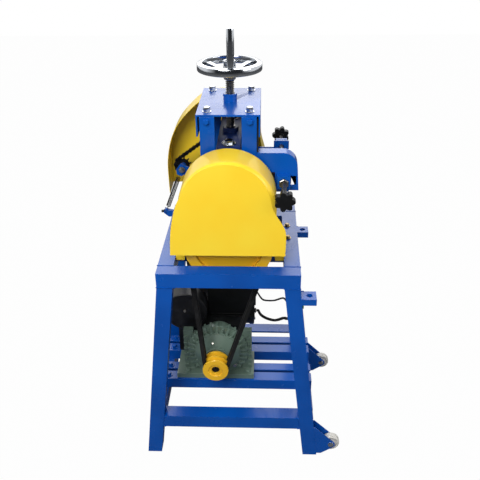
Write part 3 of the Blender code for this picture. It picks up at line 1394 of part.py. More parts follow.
# Leads, held at both ends
def lead(name, radius, route):
    """A lead: a smooth tube through its route, straight where it leaves its housings."""
    points = [route[0]] + smooth_line(route[1:-1], 3) + [route[-1]]
    curve = bpy.data.curves.new(name, "CURVE")
    curve.dimensions = "3D"
    curve.bevel_depth = radius
    curve.bevel_resolution = 1
    curve.use_fill_caps = True
    spline = curve.splines.new("POLY")
    spline.points.add(len(points) - 1)
    for point, co in zip(spline.points, points):
        point.co = (*(Vector(co) - Vector(route[0])), 1.0)
    obj = bpy.data.objects.new(name, curve)
    curve.materials.append(BLACK_RUBBER)
    machine.objects.link(obj)
    set_place(obj, route[0], None)
    return obj


OUTLET_X = TERMINAL_RIGHT + RUNNING
OUTLET_Y = GEAR_FAR + 0.036
OUTLET_Z = TERMINAL_TOP - 0.040
SWITCH_LEFT = SWITCH_X - SWITCH[0] / 2 - RUNNING
END = 0.006
SWITCH_UPPER = SWITCH_Z + 0.025
SWITCH_LOWER = SWITCH_Z - 0.026
lead("switch_lead_upper", 0.0026, [
    (OUTLET_X, OUTLET_Y, OUTLET_Z), (OUTLET_X + END, OUTLET_Y, OUTLET_Z),
    (0.0840, 0.235, 0.3840), (0.1000, 0.205, 0.3995), (0.1204, 0.160, 0.4318), (0.1410, 0.115, 0.4710),
    (SWITCH_LEFT - END, SWITCH_Y + END, SWITCH_UPPER), (SWITCH_LEFT, SWITCH_Y + END, SWITCH_UPPER),
])
GLAND_END = MOTOR_RIGHT + GLAND_LENGTH + RUNNING
lead("switch_lead_lower", 0.0042, [
    (GLAND_END, GLAND_Y, MOTOR_Z), (GLAND_END + END, GLAND_Y, MOTOR_Z),
    (0.0800, 0.234, 0.3290), (0.0962, 0.210, 0.3334), (0.1219, 0.170, 0.3551), (0.1440, 0.130, 0.3930),
    (SWITCH_LEFT - END, SWITCH_Y, SWITCH_LOWER), (SWITCH_LEFT, SWITCH_Y, SWITCH_LOWER),
])

# Caster wheels
for label, middle in zip(("near", "far"), CASTER_Y):
    caster = pivot(f"caster_{label}_pivot", (CASTER_X, middle, CASTER_Z))
    tread = CASTER_WIDTH / 2
    profile = ring_profile(
        [(CASTER_RADIUS - 0.010, tread), (CASTER_RADIUS - 0.010, tread - 0.002),
         (CASTER_RADIUS - 0.006, tread - 0.002), (CASTER_RADIUS - 0.002, tread),
         (CASTER_RADIUS, tread - 0.003), (CASTER_RADIUS, -tread + 0.003),
         (CASTER_RADIUS - 0.002, -tread), (CASTER_RADIUS - 0.006, -tread + 0.002),
         (CASTER_RADIUS - 0.010, -tread + 0.002), (CASTER_RADIUS - 0.010, -tread)],
        AXLE_RADIUS + RUNNING,
    )
    turned_row("caster_wheel_" + label, profile, (CASTER_X, middle, CASTER_Z), CREAM, caster, steps=24)
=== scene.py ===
# Looks of the cable stripping machine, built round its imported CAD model.
# The file follows the machine as it is put together. Lengths are in metres.
import json
import math

import bmesh
import bpy
from mathutils import Matrix, Vector


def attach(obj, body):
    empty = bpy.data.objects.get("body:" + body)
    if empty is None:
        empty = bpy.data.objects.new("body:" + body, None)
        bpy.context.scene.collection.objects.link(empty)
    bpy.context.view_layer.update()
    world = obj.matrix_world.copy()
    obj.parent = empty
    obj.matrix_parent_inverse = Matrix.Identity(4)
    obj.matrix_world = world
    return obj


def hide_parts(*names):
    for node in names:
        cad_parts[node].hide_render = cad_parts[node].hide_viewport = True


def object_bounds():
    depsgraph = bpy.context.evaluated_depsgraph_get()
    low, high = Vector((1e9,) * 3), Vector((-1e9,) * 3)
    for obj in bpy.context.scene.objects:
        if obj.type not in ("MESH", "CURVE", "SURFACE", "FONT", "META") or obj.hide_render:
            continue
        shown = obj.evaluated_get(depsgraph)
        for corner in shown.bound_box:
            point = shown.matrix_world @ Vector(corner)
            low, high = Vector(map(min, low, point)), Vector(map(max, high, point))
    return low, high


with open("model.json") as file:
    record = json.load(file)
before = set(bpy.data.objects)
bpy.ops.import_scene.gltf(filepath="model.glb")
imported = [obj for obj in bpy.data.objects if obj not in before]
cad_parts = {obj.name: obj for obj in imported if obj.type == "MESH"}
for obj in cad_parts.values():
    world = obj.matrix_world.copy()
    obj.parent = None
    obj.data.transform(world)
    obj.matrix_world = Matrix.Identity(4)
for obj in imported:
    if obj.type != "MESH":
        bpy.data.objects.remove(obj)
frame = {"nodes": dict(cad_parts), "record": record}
cad_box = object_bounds()


# Camera, floor and light: a plain white studio. Mirroring metal sees a dark ceiling and a dark
# room behind the camera. The lens and place come from the stand's corners in the photograph.
CAMERA_PLACE = (0.0517, -1.5058, 1.4226)
CAMERA_DOWN = 0.5081
CAMERA_LEFT = 0.0418
CAMERA_ROLL = -0.0115
LENS = 46.23
SENSOR = 36.0
VIEW_END = 30.0
FLOOR_HALF = 6.0
FLOOR_GAP = 0.0002
FLOOR_GLOW = 0.985
FILL_STRENGTH = 0.40
CEILING_START = 0.50
CEILING_END = 0.85
ROOM_START = -0.10
ROOM_END = -0.70
LAMP_AIM = Vector((0.0, 0.0, 0.8))


def colour(code):
    """An sRGB hex code as a linear colour."""
    parts = []
    for start in (0, 2, 4):
        value = int(code[start:start + 2], 16) / 255
        parts.append(value / 12.92 if value <= 0.04045 else ((value + 0.055) / 1.055) ** 2.4)
    return (*parts, 1.0)


def add(tree, kind, values=None, links=None, **settings):
    """Add a shader node, with its settings, its input values and its links."""
    node = tree.nodes.new("ShaderNode" + kind)
    for name, value in settings.items():
        setattr(node, name, value)
    for name, value in (values or {}).items():
        node.inputs[name].default_value = value
    for name, source in (links or {}).items():
        tree.links.new(source, node.inputs[name])
    return node


scene = bpy.context.scene
scene.view_settings.view_transform = "Standard"
lens = bpy.data.cameras.new("camera")
lens.lens = LENS
lens.sensor_width = SENSOR
lens.clip_end = VIEW_END
camera = bpy.data.objects.new("camera", lens)
scene.collection.objects.link(camera)
camera.matrix_world = (
    Matrix.Translation(CAMERA_PLACE)
    @ Matrix.Rotation(CAMERA_LEFT, 4, "Z")
    @ Matrix.Rotation(math.pi / 2 - CAMERA_DOWN, 4, "X")
    @ Matrix.Rotation(CAMERA_ROLL, 4, "Z")
)
scene.camera = camera

world = bpy.data.worlds.new("studio")
world.use_nodes = True
sky = world.node_tree
sky.nodes.clear()
seen = add(sky, "LightPath")
either = add(sky, "Math", operation="MAXIMUM", links={
    0: seen.outputs["Is Camera Ray"], 1: seen.outputs["Is Transmission Ray"],
})
any_of = add(sky, "Math", operation="MAXIMUM", links={
    0: either.outputs[0], 1: seen.outputs["Is Glossy Ray"],
})
way = add(sky, "SeparateXYZ", links={0: add(sky, "TexCoord").outputs["Generated"]})
ceiling = add(sky, "MapRange", values={"From Min": CEILING_START, "From Max": CEILING_END},
              links={"Value": way.outputs["Z"]})
room = add(sky, "MapRange", values={"From Min": ROOM_START, "From Max": ROOM_END},
           links={"Value": way.outputs["Y"]})
shade = add(sky, "Math", operation="MAXIMUM", links={0: ceiling.outputs[0], 1: room.outputs[0]})
mirrored = add(sky, "Math", operation="MULTIPLY", links={
    0: shade.outputs[0], 1: seen.outputs["Is Glossy Ray"],
})
walls = add(sky, "Mix", data_type="RGBA", values={6: colour("FFFFFF"), 7: colour("2A2C30")},
            links={0: mirrored.outputs[0]})
white = add(sky, "Background", links={"Color": walls.outputs[2]})
fill = add(sky, "Background", values={"Color": colour("F6F8FF"), "Strength": FILL_STRENGTH})
blend = add(sky, "MixShader", links={0: any_of.outputs[0], 1: fill.outputs[0], 2: white.outputs[0]})
add(sky, "OutputWorld", links={"Surface": blend.outputs[0]})
scene.world = world

bm = bmesh.new()
bmesh.ops.create_grid(bm, x_segments=1, y_segments=1, size=FLOOR_HALF)
mesh = bpy.data.meshes.new("floor")
bm.to_mesh(mesh)
bm.free()
floor = bpy.data.objects.new("floor", mesh)
floor.location.z = cad_box[0][2] - FLOOR_GAP
scene.collection.objects.link(floor)
paper = bpy.data.materials.new("white_studio_paper")
paper.use_nodes = True
sheet = paper.node_tree
sheet.nodes.clear()
seen = add(sheet, "LightPath")
matt = add(sheet, "BsdfDiffuse", values={"Color": colour("7A7A7A")})
glow = add(sheet, "Emission", values={"Color": colour("FFFFFF"), "Strength": 1.0})
share = add(sheet, "Math", operation="MULTIPLY", values={1: FLOOR_GLOW},
            links={0: seen.outputs["Is Camera Ray"]})
blend = add(sheet, "MixShader", links={0: share.outputs[0], 1: matt.outputs[0], 2: glow.outputs[0]})
add(sheet, "OutputMaterial", links={"Surface": blend.outputs[0]})
floor.data.materials.append(paper)


def lamp(name, place, size, power):
    """A soft square lamp aimed at the middle of the machine."""
    data = bpy.data.lights.new(name, "AREA")
    data.size = size
    data.energy = power
    made = bpy.data.objects.new(name, data)
    made.location = place
    made.rotation_euler = (LAMP_AIM - Vector(place)).to_track_quat("-Z", "Y").to_euler()
    scene.collection.objects.link(made)


lamp("key", place=(-0.6, -1.7, 2.2), size=1.1, power=44)
lamp("right_fill", place=(2.2, -1.0, 1.9), size=1.4, power=18)
lamp("back_softbox", place=(-0.2, 2.7, 2.7), size=2.2, power=46)


# Stand: square steel tube, saw-cut, welded and sprayed with a thick gloss enamel.
# The weld beads stay visible under the paint at every joint of the tubes.
ORIGIN = Vector((0.03225, 0.234, 0.0))
FRAME_HALF = 0.179
FRAME_DEPTH = 0.391
FRAME_TOP = 0.616
LEG_TOP = 0.576
LEG_SPREAD = 0.067
TUBE = 0.040
LOW_RAIL_FOOT = 0.103
LOW_RAIL_TOP = 0.141
EYE_PLATE_Z = 0.545
EYE_PLATE_SIDES = (0.0, 0.038, 0.353, FRAME_DEPTH)
FORK_TOP = 0.100
FORK_FOOT = 0.015
FORK_SIDES = (0.004, 0.036, 0.357, 0.389)
BEAD = 0.0023
BEAD_STEP = 0.0034
BEAD_SHAPE = (0.9, 1.0, 0.62, 1.0)
SHORT_WELD = 0.006
SAME_POINT = 0.00002
CLOSED_POINT = 0.000002
FLAT_ANGLE = 0.6


def at(x, y, z):
    """A place measured from the middle of the stand's near side, on the floor."""
    return Vector((x, y, z)) - ORIGIN


def surface(name, slot):
    """Start a material: it, its node tree, its shader and the place on the object."""
    made = bpy.data.materials.new(name)
    made["slot"] = slot
    made.use_nodes = True
    tree = made.node_tree
    return made, tree, tree.nodes["Principled BSDF"], add(tree, "TexCoord").outputs["Object"]


def paint(name, slot, code, deep, rough=0.24, peel_mm=2.6, coat=0.3, peel=0.06, gloss=0.4,
          shade_mm=130, scuff_mm=50):
    """Sprayed enamel: an orange-peel skin, a slow change of shade and a little dust."""
    made, tree, shader, place = surface(name, slot)
    slow = add(tree, "TexNoise", values={"Scale": 1000 / shade_mm, "Detail": 2.0},
               links={"Vector": place})
    span = add(tree, "MapRange", values={"From Min": 0.38, "From Max": 0.66, "To Max": 0.6},
               links={"Value": slow.outputs[0]})
    shade = add(tree, "Mix", data_type="RGBA", values={6: colour(code), 7: colour(deep)},
                links={0: span.outputs[0]})
    tree.links.new(shade.outputs[2], shader.inputs["Base Color"])
    fine = add(tree, "TexNoise", values={"Scale": 1000 / peel_mm, "Detail": 1.0},
               links={"Vector": place})
    skin = add(tree, "Bump", values={"Strength": peel, "Distance": 0.0003},
               links={"Height": fine.outputs[0]})
    tree.links.new(skin.outputs[0], shader.inputs["Normal"])
    scuff = add(tree, "TexNoise", values={"Scale": 1000 / scuff_mm, "Detail": 3.0},
                links={"Vector": place})
    dull = add(tree, "MapRange", values={"To Min": rough - 0.05, "To Max": rough + 0.08},
               links={"Value": scuff.outputs[0]})
    tree.links.new(dull.outputs[0], shader.inputs["Roughness"])
    shader.inputs["Specular IOR Level"].default_value = gloss
    shader.inputs["Coat Weight"].default_value = coat
    shader.inputs["Coat Roughness"].default_value = 0.06
    return made


def body_of(node):
    """The CAD body that holds a node."""
    for body, nodes in frame["record"]["behaviour"]["bodies"].items():
        if node in nodes:
            return body


def show(shape, material, body, nodes=(), edge=0.0, segments=2, angle=30.0):
    """Make a finished mesh a piece of a body, with smooth shading and rounded edges."""
    shape.shade_smooth()
    shape.set_sharp_from_angle(angle=math.radians(angle))
    shape.materials.clear()
    shape.materials.append(material)
    made = bpy.data.objects.new(shape.name, shape)
    scene.collection.objects.link(made)
    if edge:
        rounding = made.modifiers.new("rounded_edges", "BEVEL")
        rounding.width = edge
        rounding.segments = segments
        rounding.limit_method = "ANGLE"
        rounding.angle_limit = math.radians(angle)
        rounding.harden_normals = True
    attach(made, body)
    if nodes:
        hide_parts(*nodes)
    return made


def dress(node, material, edge=0.0008, segments=2, angle=30.0):
    """Stand for a CAD node with a merged copy: its edges rounded and its curves smooth."""
    copy = bmesh.new()
    copy.from_mesh(frame["nodes"][node].data)
    bmesh.ops.remove_doubles(copy, verts=copy.verts, dist=SAME_POINT)
    bmesh.ops.dissolve_limit(
        copy, angle_limit=math.radians(FLAT_ANGLE), verts=copy.verts, edges=copy.edges,
        delimit=set(),
    )
    shape = bpy.data.meshes.new(node + "_finish")
    copy.to_mesh(shape)
    copy.free()
    return show(shape, material, body_of(node), (node,), edge, segments, angle)


def piece(name, made, material, body, nodes=(), edge=0.0, segments=2, angle=30.0):
    """Close a modelled bmesh, turn its faces outwards and make it a piece."""
    bmesh.ops.remove_doubles(made, verts=made.verts, dist=CLOSED_POINT)
    bmesh.ops.recalc_face_normals(made, faces=made.faces)
    shape = bpy.data.meshes.new(name)
    made.to_mesh(shape)
    made.free()
    return show(shape, material, body, nodes, edge, segments, angle)


def weld(made, start, end):
    """A row of overlapping weld beads from one point to another."""
    run = end - start
    count = max(2, round(run.length / BEAD_STEP))
    turn = run.to_track_quat("X", "Z").to_matrix().to_4x4()
    for index in range(count + 1):
        place = start + run * index / count
        bmesh.ops.create_icosphere(
            made, subdivisions=1, radius=BEAD,
            matrix=Matrix.Translation(place) @ turn @ Matrix.Diagonal(BEAD_SHAPE),
        )


def leg_edge(z, inner):
    """Outer or inner X of a leg at a height."""
    slope = LEG_SPREAD / LEG_TOP
    reach = TUBE * math.hypot(1, slope) if inner else 0.0
    return FRAME_HALF + slope * (LEG_TOP - z) - reach


def leg_weld(made, side, y, first, last, inner):
    """A weld that follows a leg from one height to another."""
    weld(made, at(side * leg_edge(first, inner), y, first), at(side * leg_edge(last, inner), y, last))


blue = paint("blue_gloss_enamel", "blue_paint", "0453AF", "034496", coat=0.08, gloss=0.3)
for node in ("stand_frame", "reducer_bar_near", "reducer_bar_far", "motor_bar_near", "motor_bar_far"):
    dress(node, blue)
beads = bmesh.new()
for side in (-1, 1):
    for y in (0.0, FRAME_DEPTH):
        weld(beads, at(side * leg_edge(LEG_TOP, True), y, LEG_TOP), at(side * FRAME_HALF, y, LEG_TOP))
        for z in (LOW_RAIL_FOOT, LOW_RAIL_TOP):
            edge_x = leg_edge(z, True)
            weld(beads, at(side * edge_x, y, z), at(side * (edge_x - SHORT_WELD), y, z))
        leg_weld(beads, side, y, LOW_RAIL_FOOT, LOW_RAIL_TOP, inner=True)
    for y in (TUBE, FRAME_DEPTH - TUBE):
        weld(beads, at(side * (FRAME_HALF - TUBE), y, FRAME_TOP), at(side * FRAME_HALF, y, FRAME_TOP))
        weld(beads, at(side * FRAME_HALF, y, FRAME_TOP), at(side * FRAME_HALF, y, LEG_TOP))
        leg_weld(beads, side, y, LOW_RAIL_FOOT, LOW_RAIL_TOP, inner=False)
eye_plate_x = leg_edge(EYE_PLATE_Z, False)
for y in EYE_PLATE_SIDES:
    weld(beads, at(eye_plate_x, y, EYE_PLATE_Z), at(eye_plate_x + SHORT_WELD, y, EYE_PLATE_Z))
for y in FORK_SIDES:
    leg_weld(beads, 1, y, FORK_TOP, FORK_FOOT, inner=False)
piece("weld_beads", beads, blue, "stand")


# Bolts of the beds and the tower: zinc-plated hexagon bolts on pressed washers.
# They hold the angle-iron bars and the tower's posts to the tubes.
HEAD_TAPER = 0.10
HEAD_WALL = 0.8
RAIL_BOLT_X = 0.152
RAIL_BOLT_SPOTS = (0.189, 0.259)
BED_BOLT_X = 0.192
BED_BOLT_SPOTS = (0.1345, 0.1785, 0.264, 0.309)
BED_TOP = 0.176
UP = (0, 0, 1)
NEARWARD = (0, -1, 0)
FARWARD = (0, 1, 0)
LEFTWARD = (-1, 0, 0)
RIGHTWARD = (1, 0, 0)


def aimed(place, axis):
    """A matrix that puts a shape's Z along an axis at a place."""
    return Matrix.Translation(place) @ Vector(axis).to_track_quat("Z", "Y").to_matrix().to_4x4()


def disc(made, place, axis, radius, thick, sides=32, top=None):
    """A round plate that stands on a face, with an optional smaller top."""
    where = aimed(Vector(place) + Vector(axis) * (thick / 2), axis)
    return bmesh.ops.create_cone(
        made, cap_ends=True, segments=sides, radius1=radius, radius2=radius if top is None else top,
        depth=thick, matrix=where,
    )["verts"]


def hexagon(made, place, axis, across, tall, washer=0.0, thick=0.0016):
    """A hexagon head with a chamfered top, standing on a face or on its washer."""
    axis = Vector(axis)
    foot = Vector(place)
    if washer:
        disc(made, foot, axis, washer, thick)
        foot = foot + axis * thick
    radius = across / math.sqrt(3)
    bmesh.ops.create_cone(
        made, cap_ends=True, segments=6, radius1=radius, radius2=radius, depth=tall * HEAD_WALL,
        matrix=aimed(foot + axis * tall * HEAD_WALL / 2, axis),
    )
    bmesh.ops.create_cone(
        made, cap_ends=True, segments=6, radius1=radius, radius2=radius * (1 - 2 * HEAD_TAPER),
        depth=tall * (1 - HEAD_WALL), matrix=aimed(foot + axis * tall * (1 + HEAD_WALL) / 2, axis),
    )


def metal(name, slot, code, rough, stretch=(1.0, 1.0, 1.0), grain_mm=0.6, depth=0.1,
          stain_code="5E6064", stained=0.4, stain_mm=15):
    """Bare or plated metal with fine tool marks drawn out along one axis, and faint stains."""
    made, tree, shader, place = surface(name, slot)
    shader.inputs["Metallic"].default_value = 1.0
    drawn = add(tree, "Mapping", values={"Scale": stretch}, links={"Vector": place})
    marks = add(tree, "TexNoise", values={"Scale": 1000 / grain_mm, "Detail": 2.0},
                links={"Vector": drawn.outputs[0]})
    stain = add(tree, "TexNoise", values={"Scale": 1000 / stain_mm, "Detail": 4.0},
                links={"Vector": place})
    span = add(tree, "MapRange", values={"From Min": 0.5, "From Max": 0.85, "To Max": stained},
               links={"Value": stain.outputs[0]})
    shade = add(tree, "Mix", data_type="RGBA", values={6: colour(code), 7: colour(stain_code)},
                links={0: span.outputs[0]})
    tree.links.new(shade.outputs[2], shader.inputs["Base Color"])
    skin = add(tree, "Bump", values={"Strength": depth, "Distance": 0.0002},
               links={"Height": marks.outputs[0]})
    tree.links.new(skin.outputs[0], shader.inputs["Normal"])
    dull = add(tree, "MapRange", values={"To Min": max(rough - 0.05, 0.02), "To Max": rough + 0.12},
               links={"Value": marks.outputs[0]})
    tree.links.new(dull.outputs[0], shader.inputs["Roughness"])
    return made


zinc = metal("zinc_plated_steel", "steel", "B4AFA3", 0.28, stain_code="5A4A36")
chrome = metal("chrome_plate", "chrome", "C6CACF", 0.09, grain_mm=3.0, depth=0.01,
               stain_code="7C8288")
old_zinc = metal("yellowed_zinc", "steel", "8C7C60", 0.34, stain_code="3E3020", stained=0.7)
rail_bolts = bmesh.new()
bed_bolts = bmesh.new()
for side in (-1, 1):
    for y in RAIL_BOLT_SPOTS:
        hexagon(rail_bolts, at(side * RAIL_BOLT_X, y, FRAME_TOP), UP,
                across=0.011, tall=0.006, washer=0.009)
    for y in BED_BOLT_SPOTS:
        hexagon(bed_bolts, at(side * BED_BOLT_X, y, BED_TOP), UP,
                across=0.013, tall=0.007, washer=0.0115)
piece("rail_bolts", rail_bolts, old_zinc, "stand")
piece("bed_bolts", bed_bolts, blue, "stand")


# Tower: four angle-iron posts under a folded cap plate, with a threaded boss for the screw.
# The posts are painted with their bolts. The cap's own bolts are chromed.
POST_BOLT_X = 0.0515
POST_BOLT_LOW = 0.655
POST_BOLT_HIGH = 0.961
POST_NEAR = 0.128
POST_FAR = 0.361
CAP_BOLT_X = 0.051
CAP_BOLT_SPOTS = (0.1525, 0.3365)
CAP_TOP = 0.977
for node in ("post_near_left", "post_near_right", "post_far_left", "post_far_right", "cap_plate"):
    dress(node, blue)
painted = bmesh.new()
for side in (-1, 1):
    for z in (POST_BOLT_HIGH, POST_BOLT_LOW):
        for y, away in ((POST_NEAR, NEARWARD), (POST_FAR, FARWARD)):
            hexagon(painted, at(side * POST_BOLT_X, y, z), away, across=0.013, tall=0.006, washer=0.010)
piece("post_bolts", painted, blue, "stand")
cap_bolts = bmesh.new()
for side in (-1, 1):
    for y in CAP_BOLT_SPOTS:
        hexagon(cap_bolts, at(side * CAP_BOLT_X, y, CAP_TOP), UP,
                across=0.0165, tall=0.0105, washer=0.0108)
piece("cap_bolts", cap_bolts, chrome, "stand", edge=0.0005)


# Infeed flap: a black rubber sheet that hangs over the cable's way in.
# The rubber is matt, with a fine grain that takes up dust.
def dark(name, slot, code, rough, grain_mm, depth, metallic=0.0, lift_code="3A3B3E", gloss=0.5,
         dust_mm=20):
    """A dark surface with a fine grain and a few dusty places."""
    made, tree, shader, place = surface(name, slot)
    shader.inputs["Metallic"].default_value = metallic
    shader.inputs["Specular IOR Level"].default_value = gloss
    slow = add(tree, "TexNoise", values={"Scale": 1000 / dust_mm, "Detail": 4.0},
               links={"Vector": place})
    span = add(tree, "MapRange", values={"From Min": 0.45, "From Max": 0.8, "To Max": 0.35},
               links={"Value": slow.outputs[0]})
    lift = add(tree, "Mix", data_type="RGBA", values={6: colour(code), 7: colour(lift_code)},
               links={0: span.outputs[0]})
    tree.links.new(lift.outputs[2], shader.inputs["Base Color"])
    fine = add(tree, "TexNoise", values={"Scale": 1000 / grain_mm, "Detail": 3.0},
               links={"Vector": place})
    skin = add(tree, "Bump", values={"Strength": depth, "Distance": 0.0003},
               links={"Height": fine.outputs[0]})
    tree.links.new(skin.outputs[0], shader.inputs["Normal"])
    dull = add(tree, "MapRange", values={"To Min": rough - 0.08, "To Max": rough + 0.1},
               links={"Value": slow.outputs[0]})
    tree.links.new(dull.outputs[0], shader.inputs["Roughness"])
    return made


rubber = dark("black_rubber", "rubber", "121212", 0.7, 1.0, 0.35, gloss=0.3)
dress("infeed_flap", rubber, edge=0.0004)


# Blade carriage: a painted steel beam that the screw lifts, with a cast bearing at each end.
# Large chromed bolts with washers hold the bearings to the beam.
BEAM_TOP = 0.900
BEAM_BOLT_SPOTS = (0.144, 0.345)
# Painted shade: the beam's enamel is a darker, duller copy of the blue, for its place in the shadow under
# the cap.
painted_shade_blue = paint("painted_shade_blue_enamel", "blue_paint", "15306E", "262B42", rough=0.45, coat=0.0,
                    gloss=0.25)
dress("carriage_beam", painted_shade_blue)
cast_iron = dark("blackened_cast_iron", "dark_steel", "232426", 0.5, 1.2, 0.4, metallic=0.5)
for node in ("blade_bearing_near", "blade_bearing_far", "feed_bearing_near", "feed_bearing_far"):
    dress(node, cast_iron, edge=0.002, segments=3)
beam_bolts = bmesh.new()
for y in BEAM_BOLT_SPOTS:
    hexagon(beam_bolts, at(0.0, y, BEAM_TOP), UP, across=0.019, tall=0.009, washer=0.0180, thick=0.0025)
piece("carriage_bolts", beam_bolts, chrome, "carriage", edge=0.0005)


# Lifting screw: turned steel with a trapezoidal thread of 5 mm pitch below the handwheel.
# The thread is one helix, spun turn by turn.
MIDDLE_Y = 0.2445
SCREW_ROOT = 0.0086
SCREW_CREST = 0.0108
SCREW_PITCH = 0.005
SCREW_TURNS = 24
SCREW_FOOT = 0.8885
SCREW_COLLAR_TOP = 0.9128
THREAD_FOOT = 0.9100
SHANK_FOOT = 1.0300
SHANK_TOP = 1.0726
BOSS_TOP = 0.9896
THREAD_STEPS = 24
THREAD_JOINT = 0.00001


def turned(made, profile, place, axis, steps=48, closed=False):
    """Spin a profile of (radius, distance along the axis) into a turned shape."""
    axis = Vector(axis)
    out = axis.orthogonal().normalized()
    verts = [made.verts.new(Vector(place) + out * r + axis * d) for r, d in profile]
    lines = [made.edges.new(pair) for pair in zip(verts, verts[1:])]
    if closed:
        lines.append(made.edges.new((verts[-1], verts[0])))
    bmesh.ops.spin(
        made, geom=verts + lines, cent=place, axis=axis, dvec=(0, 0, 0), angle=2 * math.pi, steps=steps,
        use_merge=True,
    )


def thread(made, place, axis, root, crest, pitch, turns):
    """A helical thread of whole turns, its ends closed. Its profile is in shares of the pitch."""
    axis = Vector(axis)
    out = axis.orthogonal().normalized()
    profile = [(root, 0.0), (root, 0.3), (crest, 0.45), (crest, 0.85), (root, 1.0)]
    verts = [made.verts.new(Vector(place) + out * r + axis * d * pitch) for r, d in profile]
    lines = [made.edges.new(pair) for pair in zip(verts, verts[1:])]
    before = set(made.faces)
    bmesh.ops.spin(
        made, geom=verts + lines, cent=place, axis=axis, dvec=axis * pitch / THREAD_STEPS,
        angle=2 * math.pi * turns, steps=THREAD_STEPS * turns,
    )
    new_faces = [face for face in made.faces if face not in before]
    new_verts = list({vert for face in new_faces for vert in face.verts})
    bmesh.ops.remove_doubles(made, verts=new_verts, dist=THREAD_JOINT)
    rims = [edge for edge in made.edges if edge.is_boundary]
    bmesh.ops.holes_fill(made, edges=rims, sides=0)


def merge(made, other):
    """Put one bmesh into another."""
    shape = bpy.data.meshes.new("merged")
    other.to_mesh(shape)
    other.free()
    made.from_mesh(shape)
    bpy.data.meshes.remove(shape)


turned_steel = metal("turned_steel", "steel", "8E8C88", 0.26, stretch=(1.0, 1.0, 0.08))
screw = bmesh.new()
thread(screw, at(0, MIDDLE_Y, THREAD_FOOT), UP, SCREW_ROOT, SCREW_CREST, SCREW_PITCH, SCREW_TURNS)
turned(screw, [
    (0, SCREW_FOOT), (SCREW_CREST, SCREW_FOOT), (SCREW_CREST, SCREW_COLLAR_TOP), (0, SCREW_COLLAR_TOP),
], at(0, MIDDLE_Y, 0), UP)
turned(screw, [
    (0, SHANK_FOOT), (0.0106, SHANK_FOOT), (0.0106, SHANK_TOP), (0.0096, 1.0736), (0, 1.0736),
], at(0, MIDDLE_Y, 0), UP)
piece("lifting_screw_finish", screw, turned_steel, "handwheel", ("lifting_screw",))
boss_ring = bmesh.new()
turned(boss_ring, [
    (0.0128, 0.0), (0.0176, 0.0), (0.0176, 0.0060), (0.0170, 0.0068), (0.0128, 0.0068),
], at(0, MIDDLE_Y, BOSS_TOP), UP, closed=True)
piece("boss_ring", boss_ring, blue, "stand", edge=0.0004)


# Handwheel: cast iron, turned and chrome plated. The rim is flat outside and rounded on top,
# and three dished spokes join it to the hub. A steel spindle carries the crank handle.
WHEEL_TOP = 1.0736
WHEEL_RADIUS = 0.080
HUB_FOOT = 1.0306
SPOKE_COUNT = 3
SPOKE_CUTS = 8
SPOKE_START = 0.0145
SPOKE_LENGTH = 0.0535
SPOKE_THICK = 0.0085
SPOKE_DROP = 0.0105
SPOKE_DISH = 0.0125
CRANK_ANGLE = 275.0
CRANK_ARM = 0.070
SPINDLE_RADIUS = 0.004
SPINDLE_FOOT = -0.011
SPINDLE_TOP = 0.0850
SPINDLE_NUT_DROP = 0.0245
wheel = bmesh.new()
turned(wheel, [
    (0.0662, -0.0024), (0.0668, -0.0010), (0.0682, -0.0001), (0.0705, 0.0), (0.0778, -0.0012),
    (0.0792, -0.0018), (WHEEL_RADIUS, -0.0032), (WHEEL_RADIUS, -0.0176), (0.0794, -0.0190),
    (0.0780, -0.0197), (0.0690, -0.0197), (0.0672, -0.0190), (0.0662, -0.0174), (0.0668, -0.0140),
    (0.0676, -0.0100), (0.0670, -0.0055),
], at(0, MIDDLE_Y, WHEEL_TOP), UP, steps=96, closed=True)
turned(wheel, [
    (0.0113, 0.0455), (0.0118, 0.0460), (0.0140, 0.0460), (0.0150, 0.0450), (0.0150, 0.0330),
    (0.0170, 0.0305), (0.0170, 0.0090), (0.0160, 0.0070), (0.0148, 0.0060), (0.0148, 0.0010),
    (0.0138, 0.0), (0.0118, 0.0), (0.0113, 0.0005),
], at(0, MIDDLE_Y, HUB_FOOT), UP, closed=True)
for index in range(SPOKE_COUNT):
    around = math.radians(CRANK_ANGLE + index * 360 / SPOKE_COUNT)
    spoke = bmesh.new()
    bmesh.ops.create_cube(spoke, size=1.0)
    rails = [edge for edge in spoke.edges if abs(edge.verts[0].co.x - edge.verts[1].co.x) > 0.5]
    bmesh.ops.subdivide_edges(spoke, edges=rails, cuts=SPOKE_CUTS)
    for vert in spoke.verts:
        along = vert.co.x + 0.5
        vert.co = Vector((
            SPOKE_START + along * SPOKE_LENGTH,
            vert.co.y * (0.0125 + 0.0075 * (1 - along) ** 2 + 0.004 * along ** 4),
            vert.co.z * SPOKE_THICK - SPOKE_DROP - SPOKE_DISH * math.cos(along * math.pi / 2) ** 2,
        ))
    bmesh.ops.transform(
        spoke, verts=spoke.verts,
        matrix=Matrix.Translation(at(0, MIDDLE_Y, WHEEL_TOP)) @ Matrix.Rotation(around, 4, "Z"),
    )
    merge(wheel, spoke)
piece("handwheel_finish", wheel, chrome, "handwheel", ("handwheel",), edge=0.0008, segments=3)
spindle = bmesh.new()
crank_way = Vector((math.cos(math.radians(CRANK_ANGLE)), math.sin(math.radians(CRANK_ANGLE)), 0))
crank_foot = at(0, MIDDLE_Y, WHEEL_TOP) + crank_way * CRANK_ARM
turned(spindle, [
    (0, SPINDLE_FOOT), (SPINDLE_RADIUS, SPINDLE_FOOT), (SPINDLE_RADIUS, SPINDLE_TOP), (0, SPINDLE_TOP),
], crank_foot, UP, 24)
disc(spindle, crank_foot - Vector((0, 0, SPINDLE_NUT_DROP)), UP, 0.0065, 0.005, sides=6)
piece("crank_spindle", spindle, turned_steel, "handwheel")
crank = bmesh.new()
